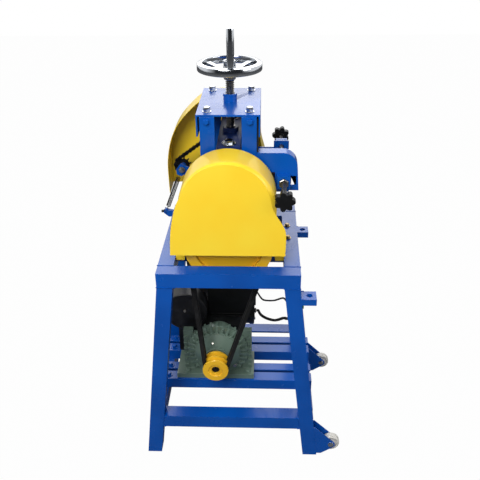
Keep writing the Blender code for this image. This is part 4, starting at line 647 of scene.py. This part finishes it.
turned(crank, [
    (0.0046, 0.0003), (0.0068, 0.0003), (0.0080, 0.0012), (0.0087, 0.0050), (0.0089, 0.0300),
    (0.0090, 0.0600), (0.0090, 0.0860), (0.0084, 0.0892), (0.0066, 0.0906), (0.0, 0.0910),
    (0.0, 0.0870), (0.0046, 0.0870),
], crank_foot, UP, closed=True)
piece("crank_handle_finish", crank, chrome, "crank", ("crank_handle",), angle=40.0)


# Blade and feed shafts: three hardened slitting discs above three grooved feed wheels.
# The shafts are turned steel, and the wheels and discs are ground tool steel.
bright_steel = metal("bright_shaft_steel", "steel", "B2B5B9", 0.28, stretch=(1.0, 0.06, 1.0))
tool_steel = metal("ground_tool_steel", "tool_steel", "9A9DA2", 0.24, grain_mm=0.5)
for node in ("blade_shaft", "feed_shaft", "arm_pin"):
    dress(node, bright_steel, edge=0.0004)
for index in (1, 2, 3):
    dress(f"slitting_disc_{index}", tool_steel)
    dress(f"feed_wheel_{index}", tool_steel, edge=0.0004)


# Chain drive: sprockets cut from plate, and a roller chain of 12.7 mm pitch, oiled black.
# Each link is made: inner and outer plates in turn, on a roller at every joint.
CHAIN_PITCH = 0.0127
CHAIN_Y = 0.402
CHAIN_ROLLER = 0.0038
CHAIN_PIN = 0.0017
LINK_WAIST = 0.0038
LINK_EYE = 0.0052
LINK_PLATE = 0.0010
INNER_PLATE = 0.0036
OUTER_PLATE = 0.0048
ROLLER_WIDTH = 0.0068
PIN_LENGTH = 0.0120
BIG_TEETH = 19
SMALL_TEETH = 11
ARC_STEPS = 40
BLADE_SHAFT_Z = 0.830
FEED_SHAFT_Z = 0.671
GUIDE_X, GUIDE_Z = 0.070, 0.655
IDLER_X, IDLER_Z = -0.149, 0.740


def loop_around(wheels, offset, count):
    """A closed line round wheels (x, z, radius, side), set off outwards.

    Side is 1 where the line keeps the wheel inside and -1 where it passes outside.
    """
    contacts = []
    for index, (x1, z1, r1, s1) in enumerate(wheels):
        x2, z2, r2, s2 = wheels[(index + 1) % len(wheels)]
        first = s1 * (r1 + s1 * offset)
        second = s2 * (r2 + s2 * offset)
        heading = math.atan2(z2 - z1, x2 - x1)
        contacts.append(heading + math.acos((first - second) / math.hypot(x2 - x1, z2 - z1)))
    points = []
    for index, (x, z, radius, side) in enumerate(wheels):
        reach = side * (radius + side * offset)
        start = contacts[index - 1]
        sweep = (start - contacts[index]) % (2 * math.pi)
        if side < 0:
            sweep -= 2 * math.pi
        for step in range(count + 1):
            angle = start - sweep * step / count
            points.append((x + reach * math.cos(angle), z + reach * math.sin(angle)))
    return points


def pitch_radius(teeth):
    """Radius at which a sprocket carries the chain's pins."""
    return CHAIN_PITCH / (2 * math.sin(math.pi / teeth))


def walk(line, count):
    """That many even steps along a closed line."""
    ends = line[1:] + line[:1]
    spans = [math.dist(a, b) for a, b in zip(line, ends)]
    step = sum(spans) / count
    marks = []
    travelled = 0.0
    for (x1, z1), (x2, z2), span in zip(line, ends, spans):
        while len(marks) * step < travelled + span and len(marks) < count:
            t = (len(marks) * step - travelled) / span
            marks.append((x1 + (x2 - x1) * t, z1 + (z2 - z1) * t))
        travelled += span
    return marks


def block(made, place, size, turn=None):
    """A box of a size with its middle at a place, turned if a turn is given."""
    verts = bmesh.ops.create_cube(made, size=1.0)["verts"]
    matrix = Matrix.Translation(place) @ (turn or Matrix()) @ Matrix.Diagonal((*size, 1.0))
    bmesh.ops.transform(made, matrix=matrix, verts=verts)


chain_line = loop_around([
    (0.0, BLADE_SHAFT_Z, pitch_radius(BIG_TEETH), 1),
    (GUIDE_X, GUIDE_Z, pitch_radius(SMALL_TEETH), 1),
    (0.0, FEED_SHAFT_Z, pitch_radius(BIG_TEETH), -1),
    (IDLER_X, IDLER_Z, pitch_radius(SMALL_TEETH), 1),
], 0.0, ARC_STEPS)
chain_length = sum(math.dist(a, b) for a, b in zip(chain_line, chain_line[1:] + chain_line[:1]))
LINKS = 2 * round(chain_length / CHAIN_PITCH / 2)
joints = walk(chain_line, LINKS)
oiled_steel = dark("oiled_black_steel", "dark_steel", "2A2B2D", 0.34, 0.7, 0.15, metallic=0.8)
chain = bmesh.new()
for index, (x1, z1) in enumerate(joints):
    x2, z2 = joints[(index + 1) % LINKS]
    disc(chain, at(x1, CHAIN_Y - ROLLER_WIDTH / 2, z1), FARWARD, CHAIN_ROLLER, ROLLER_WIDTH, 10)
    disc(chain, at(x1, CHAIN_Y - PIN_LENGTH / 2, z1), FARWARD, CHAIN_PIN, PIN_LENGTH, 8)
    slant = Matrix.Rotation(-math.atan2(z2 - z1, x2 - x1), 4, "Y")
    inner = INNER_PLATE if index % 2 else OUTER_PLATE
    for side in (-1, 1):
        for x, z in ((x1, z1), (x2, z2)):
            disc(chain, at(x, CHAIN_Y + side * inner, z), (0, side, 0), LINK_EYE, LINK_PLATE, 12)
        middle = at((x1 + x2) / 2, CHAIN_Y + side * (inner + LINK_PLATE / 2), (z1 + z2) / 2)
        block(chain, middle, (CHAIN_PITCH, LINK_PLATE, 2 * LINK_WAIST), slant)
piece("roller_chain_links", chain, oiled_steel, "stand", ("roller_chain",))
for node in ("blade_sprocket", "feed_sprocket", "guide_sprocket", "idler_sprocket"):
    dress(node, oiled_steel, edge=0.0005)


# Chain tensioner: a painted arm pulled down by a close-wound spring of black wire.
# The spring's hook ends in an eye bolt on the arm and in a bolt on the stand's lug.
ARM_Y = 0.372
ARM_NEAR = ARM_Y - 0.008
LUG_BOLT_START = -0.196
LUG_BOLT_NUT = -0.204
LUG_BOLT_Z = 0.6035
dress("tensioner_arm", blue)
spring_steel = dark("black_spring_wire", "dark_steel", "1B1B1D", 0.5, 0.7, 0.1, metallic=0.3, gloss=0.35)
dress("tensioner_spring", spring_steel, edge=0.0, angle=60.0)
idler_nut = bmesh.new()
hexagon(idler_nut, at(IDLER_X, ARM_NEAR, IDLER_Z), NEARWARD, across=0.013, tall=0.007, washer=0.009)
piece("idler_nut", idler_nut, zinc, "tension_arm")
lug_bolt = bmesh.new()
turned(lug_bolt, [(0, 0), (0.004, 0), (0.004, 0.022), (0.0035, 0.0225), (0, 0.0225)],
       at(LUG_BOLT_START, ARM_Y, LUG_BOLT_Z), LEFTWARD, 16)
hexagon(lug_bolt, at(LUG_BOLT_NUT, ARM_Y, LUG_BOLT_Z), LEFTWARD, across=0.011, tall=0.006, washer=0.008)
piece("spring_lug_bolt", lug_bolt, oiled_steel, "stand")


# Guards: folded and seam-welded sheet, sprayed yellow. The near one has a plain face and a band
# that wraps the belt pulley. The far one is open towards the tower.
yellow = paint("yellow_enamel", "yellow_paint", "FFDC38", "FFD028", rough=0.32, coat=0.2, gloss=0.35)
dress("far_guard", yellow, edge=0.0004)
SHEET = 0.0015
GUARD_FOOT = 0.660
GUARD_NEAR = 0.016
GUARD_FAR = 0.113
ARCH_Z = 0.783
ARCH_RADIUS = 0.117
ARCH_STEPS = 96
FACE_RADIUS = 0.1075
FACE_STEPS = 90
WING_STEPS = 8
CLIP_X = 0.1275
CLIP_NEAR = 0.0880
CLIP_Y = 0.0970
CLIP_Z = 0.6410
CLIP_SIZE = (0.0225, 0.0180, 0.0740)
CLIP_BOLT_Z = 0.650


def arc(centre, radius, start, end, count):
    """Points of an arc, from one angle to another, in degrees."""
    angles = [math.radians(start + (end - start) * step / count) for step in range(count + 1)]
    return [(centre[0] + radius * math.cos(a), centre[1] + radius * math.sin(a)) for a in angles]


def smooth_line(points, steps):
    """A smooth line through its points."""
    ends = [points[0]] + points + [points[-1]]
    line = []
    for a, b, c, d in zip(ends, ends[1:], ends[2:], ends[3:]):
        for step in range(steps):
            t = step / steps
            line.append(tuple(
                0.5 * (2 * q + (r - p) * t + (2 * p - 5 * q + 4 * r - s) * t * t
                       + (3 * q - p - 3 * r + s) * t ** 3)
                for p, q, r, s in zip(a, b, c, d)
            ))
    return line + [points[-1]]


def slab(made, line, near, far):
    """A plate with a closed outline in the XZ plane, between two depths."""
    front = [made.verts.new(at(x, near, z)) for x, z in line]
    back = [made.verts.new(at(x, far, z)) for x, z in line]
    made.faces.new(front)
    made.faces.new(back[::-1])
    for index in range(len(line)):
        after = (index + 1) % len(line)
        made.faces.new((front[index], front[after], back[after], back[index]))


def arch(radius):
    """An arch on straight legs."""
    bow = arc((0, ARCH_Z), radius, 0, 180, ARCH_STEPS)
    return [(radius, GUARD_FOOT)] + bow + [(-radius, GUARD_FOOT)]


guard = bmesh.new()
face_arc = arc((-0.003, ARCH_Z + 0.007), FACE_RADIUS, 4, 163, FACE_STEPS)
left_wing = smooth_line([
    face_arc[-1], (-0.1205, 0.793), (-0.1320, 0.750), (-0.1385, 0.705), (-0.1410, GUARD_FOOT),
], WING_STEPS)
right_wing = smooth_line([
    (0.1395, GUARD_FOOT), (0.1400, 0.716), (0.1340, 0.7395), (0.1140, 0.7740), face_arc[0],
], WING_STEPS)
slab(guard, face_arc[:-1] + left_wing + right_wing[:-1], GUARD_NEAR, GUARD_NEAR + SHEET)
rings = []
for y, radius in (
    (0.01675, 0.1063), (0.0200, 0.1105), (0.0245, 0.1148), (0.0290, 0.1166),
    (0.0340, ARCH_RADIUS), (GUARD_FAR, ARCH_RADIUS),
    (GUARD_FAR, ARCH_RADIUS - SHEET), (0.0340, ARCH_RADIUS - SHEET),
    (0.0290, 0.1151), (0.0250, 0.1134), (0.0210, 0.1095), (0.01675, 0.1045),
):
    rings.append([guard.verts.new(at(x, y, z)) for x, z in arch(radius)])
for first, second in zip(rings, rings[1:] + rings[:1]):
    for index in range(len(first) - 1):
        guard.faces.new((first[index], first[index + 1], second[index + 1], second[index]))
for end in (0, -1):
    guard.faces.new([ring[end] for ring in rings])
for side in (-1, 1):
    block(guard, at(side * CLIP_X, CLIP_Y, CLIP_Z), CLIP_SIZE)
piece("near_guard_finish", guard, yellow, "stand", ("near_guard",), edge=0.0004)
guard_bolts = bmesh.new()
for side in (-1, 1):
    hexagon(guard_bolts, at(side * CLIP_X, CLIP_NEAR, CLIP_BOLT_Z), NEARWARD,
            across=0.010, tall=0.005, washer=0.008)
piece("guard_clip_bolts", guard_bolts, zinc, "stand")


# Belt drive: cast pulleys with two V-grooves, painted yellow, and two cloth-covered V-belts.
# The small pulley sits on the reducer's keyed shaft and is held by a screw.
pulley_yellow = paint("pulley_enamel", "pulley_paint", "F6C22A", "E6AC1C", rough=0.34, coat=0.15)
dress("feed_pulley", pulley_yellow, edge=0.0004)
PULLEY_X = -0.044
PULLEY_Z = 0.2665
PULLEY_NEAR = 0.050
SHAFT_END_Y = 0.1035
KEY_Y = 0.0560
KEY_LIFT = 0.0100
KEY_SIZE = (0.005, 0.004, 0.004)
SHAFT_SCREW_Y = 0.0545
small = bmesh.new()
turned(small, [
    (0.0, 0.046), (0.0105, 0.046), (0.0105, 0.0440), (0.0175, 0.0440), (0.0350, 0.0440),
    (0.0360, 0.0430), (0.0360, 0.0385), (0.0255, 0.0345), (0.0255, 0.0285), (0.0360, 0.0245),
    (0.0360, 0.0195), (0.0255, 0.0155), (0.0255, 0.0095), (0.0360, 0.0055), (0.0360, 0.0010),
    (0.0350, 0.0), (0.0205, 0.0), (0.0195, 0.0010), (0.0190, 0.0040), (0.0120, 0.0040),
    (0.0112, 0.0046), (0.0112, 0.0090), (0.0, 0.0090),
], at(PULLEY_X, PULLEY_NEAR, PULLEY_Z), FARWARD, steps=64)
piece("motor_pulley_finish", small, pulley_yellow, "motor_drive", ("motor_pulley",), edge=0.0003)
shaft_end = bmesh.new()
turned(shaft_end, [
    (0, -0.0490), (0.0080, -0.0490), (0.0100, -0.0470), (0.0100, 0.0170), (0, 0.0170),
], at(PULLEY_X, SHAFT_END_Y, PULLEY_Z), FARWARD, 32)
block(shaft_end, at(PULLEY_X, KEY_Y, PULLEY_Z + KEY_LIFT), KEY_SIZE)
hexagon(shaft_end, at(PULLEY_X, SHAFT_SCREW_Y, PULLEY_Z), NEARWARD, across=0.009, tall=0.003)
piece("reducer_shaft_end", shaft_end, oiled_steel, "motor_drive", edge=0.0003)
for node in ("belt_near", "belt_far"):
    dress(node, rubber, edge=0.0006)


# Infeed: painted plates with a table between them. Two steel guide plates are set sideways by
# threaded studs, each with a moulded star knob and a nut that locks it at its clamp block.
CLAMP_X = 0.1343
CLAMP_Z = 0.8135
CLAMP_NEAR = 0.1075
CLAMP_FAR = 0.3815
KNOB_LOBES = 7
LOBE_STEPS = 12
LOBE_FULLNESS = 0.6
KNOB_WAIST = 0.0180
KNOB_LOBE = 0.0068
KNOB_THICK = 0.0190
KNOB_COLLAR = 0.0060
STUD_ROOT = 0.0050
STUD_CREST = 0.0059
STUD_PITCH = 0.00175
STUD_START = 0.0180
STUD_NECK_START = 0.0100
STUD_SPARE = 0.022
for node in ("infeed_plate_near", "infeed_table"):
    dress(node, blue, edge=0.001)
for node in ("guide_plate_near", "guide_plate_far"):
    dress(node, bright_steel, edge=0.0005)
black_plastic = dark("black_moulded_plastic", "black_plastic", "0B0C0D", 0.45, 0.8, 0.2,
                     lift_code="1E1F21", gloss=0.3)
nuts = bmesh.new()
hexagon(nuts, at(CLAMP_X, CLAMP_NEAR, CLAMP_Z), NEARWARD, across=0.022, tall=0.008)
hexagon(nuts, at(CLAMP_X, CLAMP_FAR, CLAMP_Z), FARWARD, across=0.022, tall=0.008)
piece("clamp_nuts", nuts, turned_steel, "stand", edge=0.0005)
for label, facing, hub_y, tip_y in (("near", -1, 0.006, 0.170), ("far", 1, 0.453, 0.289)):
    inwards = (0, -facing, 0)
    knob = bmesh.new()
    ring = []
    for index in range(KNOB_LOBES * LOBE_STEPS):
        angle = 2 * math.pi * index / (KNOB_LOBES * LOBE_STEPS)
        bulge = (1 + math.cos(KNOB_LOBES * angle)) / 2
        radius = KNOB_WAIST + KNOB_LOBE * bulge ** LOBE_FULLNESS
        ring.append(knob.verts.new((radius * math.cos(angle), radius * math.sin(angle), -KNOB_THICK / 2)))
    face = knob.faces.new(ring)
    wall = bmesh.ops.extrude_face_region(knob, geom=[face])
    raised = [item for item in wall["geom"] if isinstance(item, bmesh.types.BMVert)]
    bmesh.ops.translate(knob, verts=raised, vec=(0, 0, KNOB_THICK))
    hub = aimed(at(CLAMP_X, hub_y, CLAMP_Z), (0, facing, 0))
    bmesh.ops.transform(knob, verts=knob.verts, matrix=hub)
    collar = at(CLAMP_X, hub_y - facing * KNOB_THICK / 2, CLAMP_Z)
    disc(knob, collar, inwards, 0.0110, KNOB_COLLAR, top=0.0095)
    piece(f"star_knob_{label}_finish", knob, black_plastic, "knob_" + label,
          (f"star_knob_{label}",), edge=0.0013, segments=3, angle=50.0)
    stud = bmesh.new()
    turns = int((abs(tip_y - hub_y) - STUD_SPARE) / STUD_PITCH)
    foot = at(CLAMP_X, hub_y - facing * STUD_START, CLAMP_Z)
    thread(stud, foot, inwards, STUD_ROOT, STUD_CREST, STUD_PITCH, turns)
    neck = at(CLAMP_X, hub_y - facing * STUD_NECK_START, CLAMP_Z)
    disc(stud, neck, inwards, 0.0056, 0.0095, sides=24)
    piece(f"clamp_stud_{label}", stud, turned_steel, "knob_" + label)


# Reducer: a cast case in grey-green enamel. A smooth cone carries the shaft, and the ring behind
# it is set round with lugs, each drilled for a bolt. The feet are bolted to the bars.
GEAR_NEAR = 0.150
CASE_NEAR = 0.1290
RIM_NEAR = 0.1056
LUGS = 30
LOWEST_LUG = -0.72
LUG_OUTER = 0.0895
LUG_INNER = 0.0640
LUG_OUTER_NEAR = -0.0125
LUG_INNER_NEAR = -0.0185
LUG_FAR = 0.0080
LUG_OUTER_WIDTH = 0.0058
LUG_INNER_WIDTH = 0.0075
RING_BOLT_RADIUS = 0.0765
RING_BOLT_LIFT = 0.0155
RIB_X = 0.0935
RIB_SIZE = (0.011, 0.012, 0.0050)
SIDE_RIBS = (0.208, 0.228, 0.248, 0.268, 0.288, 0.308)
FOOT_BOLT_X = 0.088
FOOT_BOLT_SPOTS = (0.133, 0.213)
FOOT_TOP = 0.1923
grey_green = paint("grey_green_enamel", "grey_green_paint", "6A7F71", "54675A", rough=0.36, peel_mm=1.6,
                   coat=0.2, peel=0.3, gloss=0.45)
dress("gearbox_case", grey_green, edge=0.0015, segments=3)
lugs = bmesh.new()
case_bolts = bmesh.new()
for side in (-1, 1):
    for y in FOOT_BOLT_SPOTS:
        hexagon(case_bolts, at(PULLEY_X + side * FOOT_BOLT_X, y, FOOT_TOP), UP,
                across=0.013, tall=0.008, washer=0.0115)
for index in range(LUGS):
    angle = 2 * math.pi * (index + 0.5) / LUGS
    if math.sin(angle) < LOWEST_LUG:
        continue
    lug = bmesh.ops.create_cube(lugs, size=1.0)["verts"]
    for vert in lug:
        outer = vert.co.x > 0
        near = vert.co.y < 0
        vert.co = Vector((
            LUG_OUTER if outer else LUG_INNER,
            (LUG_OUTER_NEAR if outer else LUG_INNER_NEAR) if near else LUG_FAR,
            vert.co.z * (LUG_OUTER_WIDTH if outer else LUG_INNER_WIDTH),
        ))
    place = Matrix.Translation(at(PULLEY_X, GEAR_NEAR, PULLEY_Z)) @ Matrix.Rotation(-angle, 4, "Y")
    bmesh.ops.transform(lugs, verts=lug, matrix=place)
    if index % 3 == 0:
        x = PULLEY_X + RING_BOLT_RADIUS * math.cos(angle)
        z = PULLEY_Z + RING_BOLT_RADIUS * math.sin(angle)
        hexagon(case_bolts, at(x, GEAR_NEAR - RING_BOLT_LIFT, z), NEARWARD, across=0.007, tall=0.0040)
turned(lugs, [
    (0.0640, 0.0), (0.0663, 0.0), (0.0672, 0.0012), (0.0672, 0.0100), (0.0640, 0.0100),
], at(PULLEY_X, CASE_NEAR, PULLEY_Z), FARWARD, steps=64, closed=True)
turned(lugs, [
    (0.0245, 0.0), (0.0318, -0.0002), (0.0330, 0.0012), (0.0330, 0.0070), (0.0300, 0.0090),
    (0.0245, 0.0090),
], at(PULLEY_X, RIM_NEAR, PULLEY_Z), FARWARD, closed=True)
for side in (-1, 1):
    for z in SIDE_RIBS:
        block(lugs, at(PULLEY_X + side * RIB_X, GEAR_NEAR, z), RIB_SIZE)
piece("reducer_lugs", lugs, grey_green, "stand", edge=0.0009)
piece("reducer_bolts", case_bolts, grey_green, "stand", edge=0.0003)
plugs = bmesh.new()
hexagon(plugs, at(0.0059, 0.1360, 0.2190), NEARWARD, across=0.010, tall=0.006, washer=0.0075)
hexagon(plugs, at(-0.0560, 0.1215, 0.3060), (0, -0.72, 0.69), across=0.006, tall=0.003)
piece("reducer_plugs", plugs, zinc, "stand", edge=0.0003)


# Motor: it lies across behind the reducer. Its ribbed body ends in a pressed fan cover with a
# pierced grille, and a large terminal box stands in front. All are sprayed or moulded black.
MOTOR_LEFT = -0.150
MOTOR_RIGHT = 0.0605
MOTOR_MIDDLE = (MOTOR_LEFT + MOTOR_RIGHT) / 2
MOTOR_Y = 0.3028
MOTOR_Z = 0.335
MOTOR_RADIUS = 0.0725
FINS = 44
FIN_LENGTH = MOTOR_RIGHT - MOTOR_LEFT - 0.028
FIN_TALL = 0.008
FIN_THICK = 0.0024
FIN_LIFT = 0.0010
LOWEST_FIN = -0.72
NEAREST_FIN = -0.2
COVER_SCREW_RADIUS = 0.058
COVER_X, COVER_NEAR, COVER_Z = -0.1385, 0.1960, 0.3620
GRILLE_X = -0.1773
GRILLE_RINGS = (0.018, 0.028, 0.038, 0.048, 0.058)
BOX_LEFT = -0.0755
BOX_RIGHT = 0.062
BOX_MIDDLE = (BOX_LEFT + BOX_RIGHT) / 2
BOX_LENGTH = BOX_RIGHT - BOX_LEFT
BOX_NEAR = 0.2263
BOX_TOP = 0.432
BOX_RIDGES = (0.3285, 0.3365)
LID_DEPTH = 0.070
LID_THICK = 0.005
LID_OVERHANG = 0.004
RIDGE_SIZE = (BOX_LENGTH + 0.003, 0.0040, 0.0028)
LID_SCREW_X = 0.006
LID_SCREW_Y = 0.007
GLAND_Y, GLAND_Z = 0.262, 0.3920
black_paint = dark("black_motor_enamel", "black_paint", "101012", 0.42, 1.6, 0.15, gloss=0.4)
dress("motor_body", black_paint, edge=0.0012, segments=3)
dress("terminal_box", black_plastic, edge=0.002, segments=3)
fins = bmesh.new()
for index in range(FINS):
    angle = 2 * math.pi * index / FINS
    if math.cos(angle) < NEAREST_FIN or math.sin(angle) < LOWEST_FIN:
        continue
    out = Vector((0, math.cos(angle), math.sin(angle)))
    place = at(MOTOR_MIDDLE, MOTOR_Y, MOTOR_Z) + out * (MOTOR_RADIUS + FIN_LIFT)
    block(fins, place, (FIN_LENGTH, FIN_TALL, FIN_THICK), Matrix.Rotation(angle, 4, "X"))
turned(fins, [
    (0.0700, 0.0), (0.0737, 0.0), (0.0745, 0.0008), (0.0745, 0.0130), (0.0700, 0.0130),
], at(MOTOR_RIGHT - 0.0145, MOTOR_Y, MOTOR_Z), RIGHTWARD, steps=72, closed=True)
turned(fins, [
    (0, 0.0), (0.0180, 0.0), (0.0180, 0.0035), (0.0165, 0.0050), (0, 0.0050),
], at(MOTOR_RIGHT - 0.0005, MOTOR_Y, MOTOR_Z), RIGHTWARD, steps=40)
turned(fins, [
    (0.0560, -0.0010), (0.0560, 0.0022), (0.0600, 0.0030), (0.0622, 0.0010), (0.0622, -0.0060),
    (0.0600, -0.0060),
], at(COVER_X, COVER_NEAR, COVER_Z), NEARWARD, steps=72, closed=True)
piece("motor_fins", fins, black_paint, "stand", edge=0.0005)
cover_screws = bmesh.new()
for index in range(4):
    angle = math.radians(45 + 90 * index)
    y = MOTOR_Y + COVER_SCREW_RADIUS * math.cos(angle)
    z = MOTOR_Z + COVER_SCREW_RADIUS * math.sin(angle)
    hexagon(cover_screws, at(MOTOR_RIGHT - 0.0003, y, z), RIGHTWARD, across=0.008, tall=0.004)
disc(cover_screws, at(-0.1415, 0.1962, 0.3655), NEARWARD, 0.0048, 0.0030, sides=16, top=0.0038)
piece("fan_cover_screws", cover_screws, zinc, "stand", edge=0.0003)
grille = bmesh.new()
for radius in GRILLE_RINGS:
    turned(grille, [
        (radius - 0.002, 0.0), (radius + 0.002, 0.0), (radius + 0.0015, 0.0015),
        (radius - 0.0015, 0.0015),
    ], at(GRILLE_X, MOTOR_Y, MOTOR_Z), LEFTWARD, closed=True)
piece("fan_grille_rings", grille, black_paint, "stand")
lid = bmesh.new()
block(lid, at(BOX_MIDDLE, BOX_NEAR + LID_DEPTH / 2, BOX_TOP - 0.0010),
      (BOX_LENGTH + LID_OVERHANG, LID_DEPTH, LID_THICK))
for z in BOX_RIDGES:
    block(lid, at(BOX_MIDDLE, BOX_NEAR - 0.0005, z), RIDGE_SIZE)
for x in (BOX_LEFT + LID_SCREW_X, BOX_RIGHT - LID_SCREW_X):
    for y in (BOX_NEAR + LID_SCREW_Y, BOX_NEAR + LID_DEPTH - LID_SCREW_Y):
        disc(lid, at(x, y, BOX_TOP + 0.0014), UP, 0.0035, 0.0015, sides=16, top=0.0028)
turned(lid, [
    (0, 0), (0.0085, 0), (0.0085, 0.004), (0.0060, 0.0075), (0.0036, 0.0080), (0.0036, 0.0),
], at(BOX_RIGHT - 0.0005, GLAND_Y, GLAND_Z), RIGHTWARD, 20)
piece("terminal_lid", lid, black_plastic, "stand", edge=0.0008)


# Switch box: a moulded box on the near right leg with two push buttons in raised collars.
# Two rubber-covered leads join it to the motor and its terminal box, each through a gland.
dress("switch_box", black_plastic, edge=0.0012, segments=3)
for node in ("switch_lead_upper", "switch_lead_lower"):
    dress(node, rubber, edge=0.0, angle=60.0)


def plastic(name, slot, code, shade_code, rough=0.35, dust_mm=8):
    """Moulded plastic, a little uneven and dusty."""
    made, tree, shader, place = surface(name, slot)
    slow = add(tree, "TexNoise", values={"Scale": 1000 / dust_mm, "Detail": 3.0},
               links={"Vector": place})
    span = add(tree, "MapRange", values={"From Min": 0.45, "From Max": 0.85, "To Max": 0.5},
               links={"Value": slow.outputs[0]})
    shade = add(tree, "Mix", data_type="RGBA", values={6: colour(code), 7: colour(shade_code)},
                links={0: span.outputs[0]})
    tree.links.new(shade.outputs[2], shader.inputs["Base Color"])
    shader.inputs["Roughness"].default_value = rough
    return made


dress("start_button", plastic("green_plastic", "green_plastic", "1E8F3E", "17702F"), edge=0.0006)
dress("stop_button", plastic("red_plastic", "red_plastic", "C02A20", "94201A"), edge=0.0006)


# Casters: cream nylon wheels that turn on a plated axle, between the stand's fork plates.
# Each tread has a rim at either side, and the axle's nuts are chromed.
CASTER_X = 0.2855
CASTER_Z = 0.040
CASTER_SPOTS = (("near", 0.0165), ("far", 0.3745))
FORK_HALF = 0.0151
tread = plastic("cream_nylon", "tread", "DAD7CE", "A9A498", 0.4)
axles = bmesh.new()
for label, middle in CASTER_SPOTS:
    tyre = bmesh.new()
    turned(tyre, [
        (0.0047, -0.0100), (0.0085, -0.0100), (0.0090, -0.0090), (0.0150, -0.0075), (0.0190, -0.0080),
        (0.0200, -0.0095), (0.0225, -0.0098), (0.0242, -0.0085), (0.0250, -0.0060), (0.0250, 0.0060),
        (0.0242, 0.0085), (0.0225, 0.0098), (0.0200, 0.0095), (0.0190, 0.0080), (0.0150, 0.0075),
        (0.0090, 0.0090), (0.0085, 0.0100), (0.0047, 0.0100),
    ], at(CASTER_X, middle, CASTER_Z), FARWARD, closed=True)
    piece(f"caster_wheel_{label}_finish", tyre, tread, "caster_" + label,
          (f"caster_wheel_{label}",), angle=40.0)
    for side in (-1, 1):
        hexagon(axles, at(CASTER_X, middle + side * FORK_HALF, CASTER_Z), (0, side, 0),
                across=0.012, tall=0.0030, washer=0.0085, thick=0.0008)
piece("caster_axle_nuts", axles, chrome, "stand", edge=0.0004)
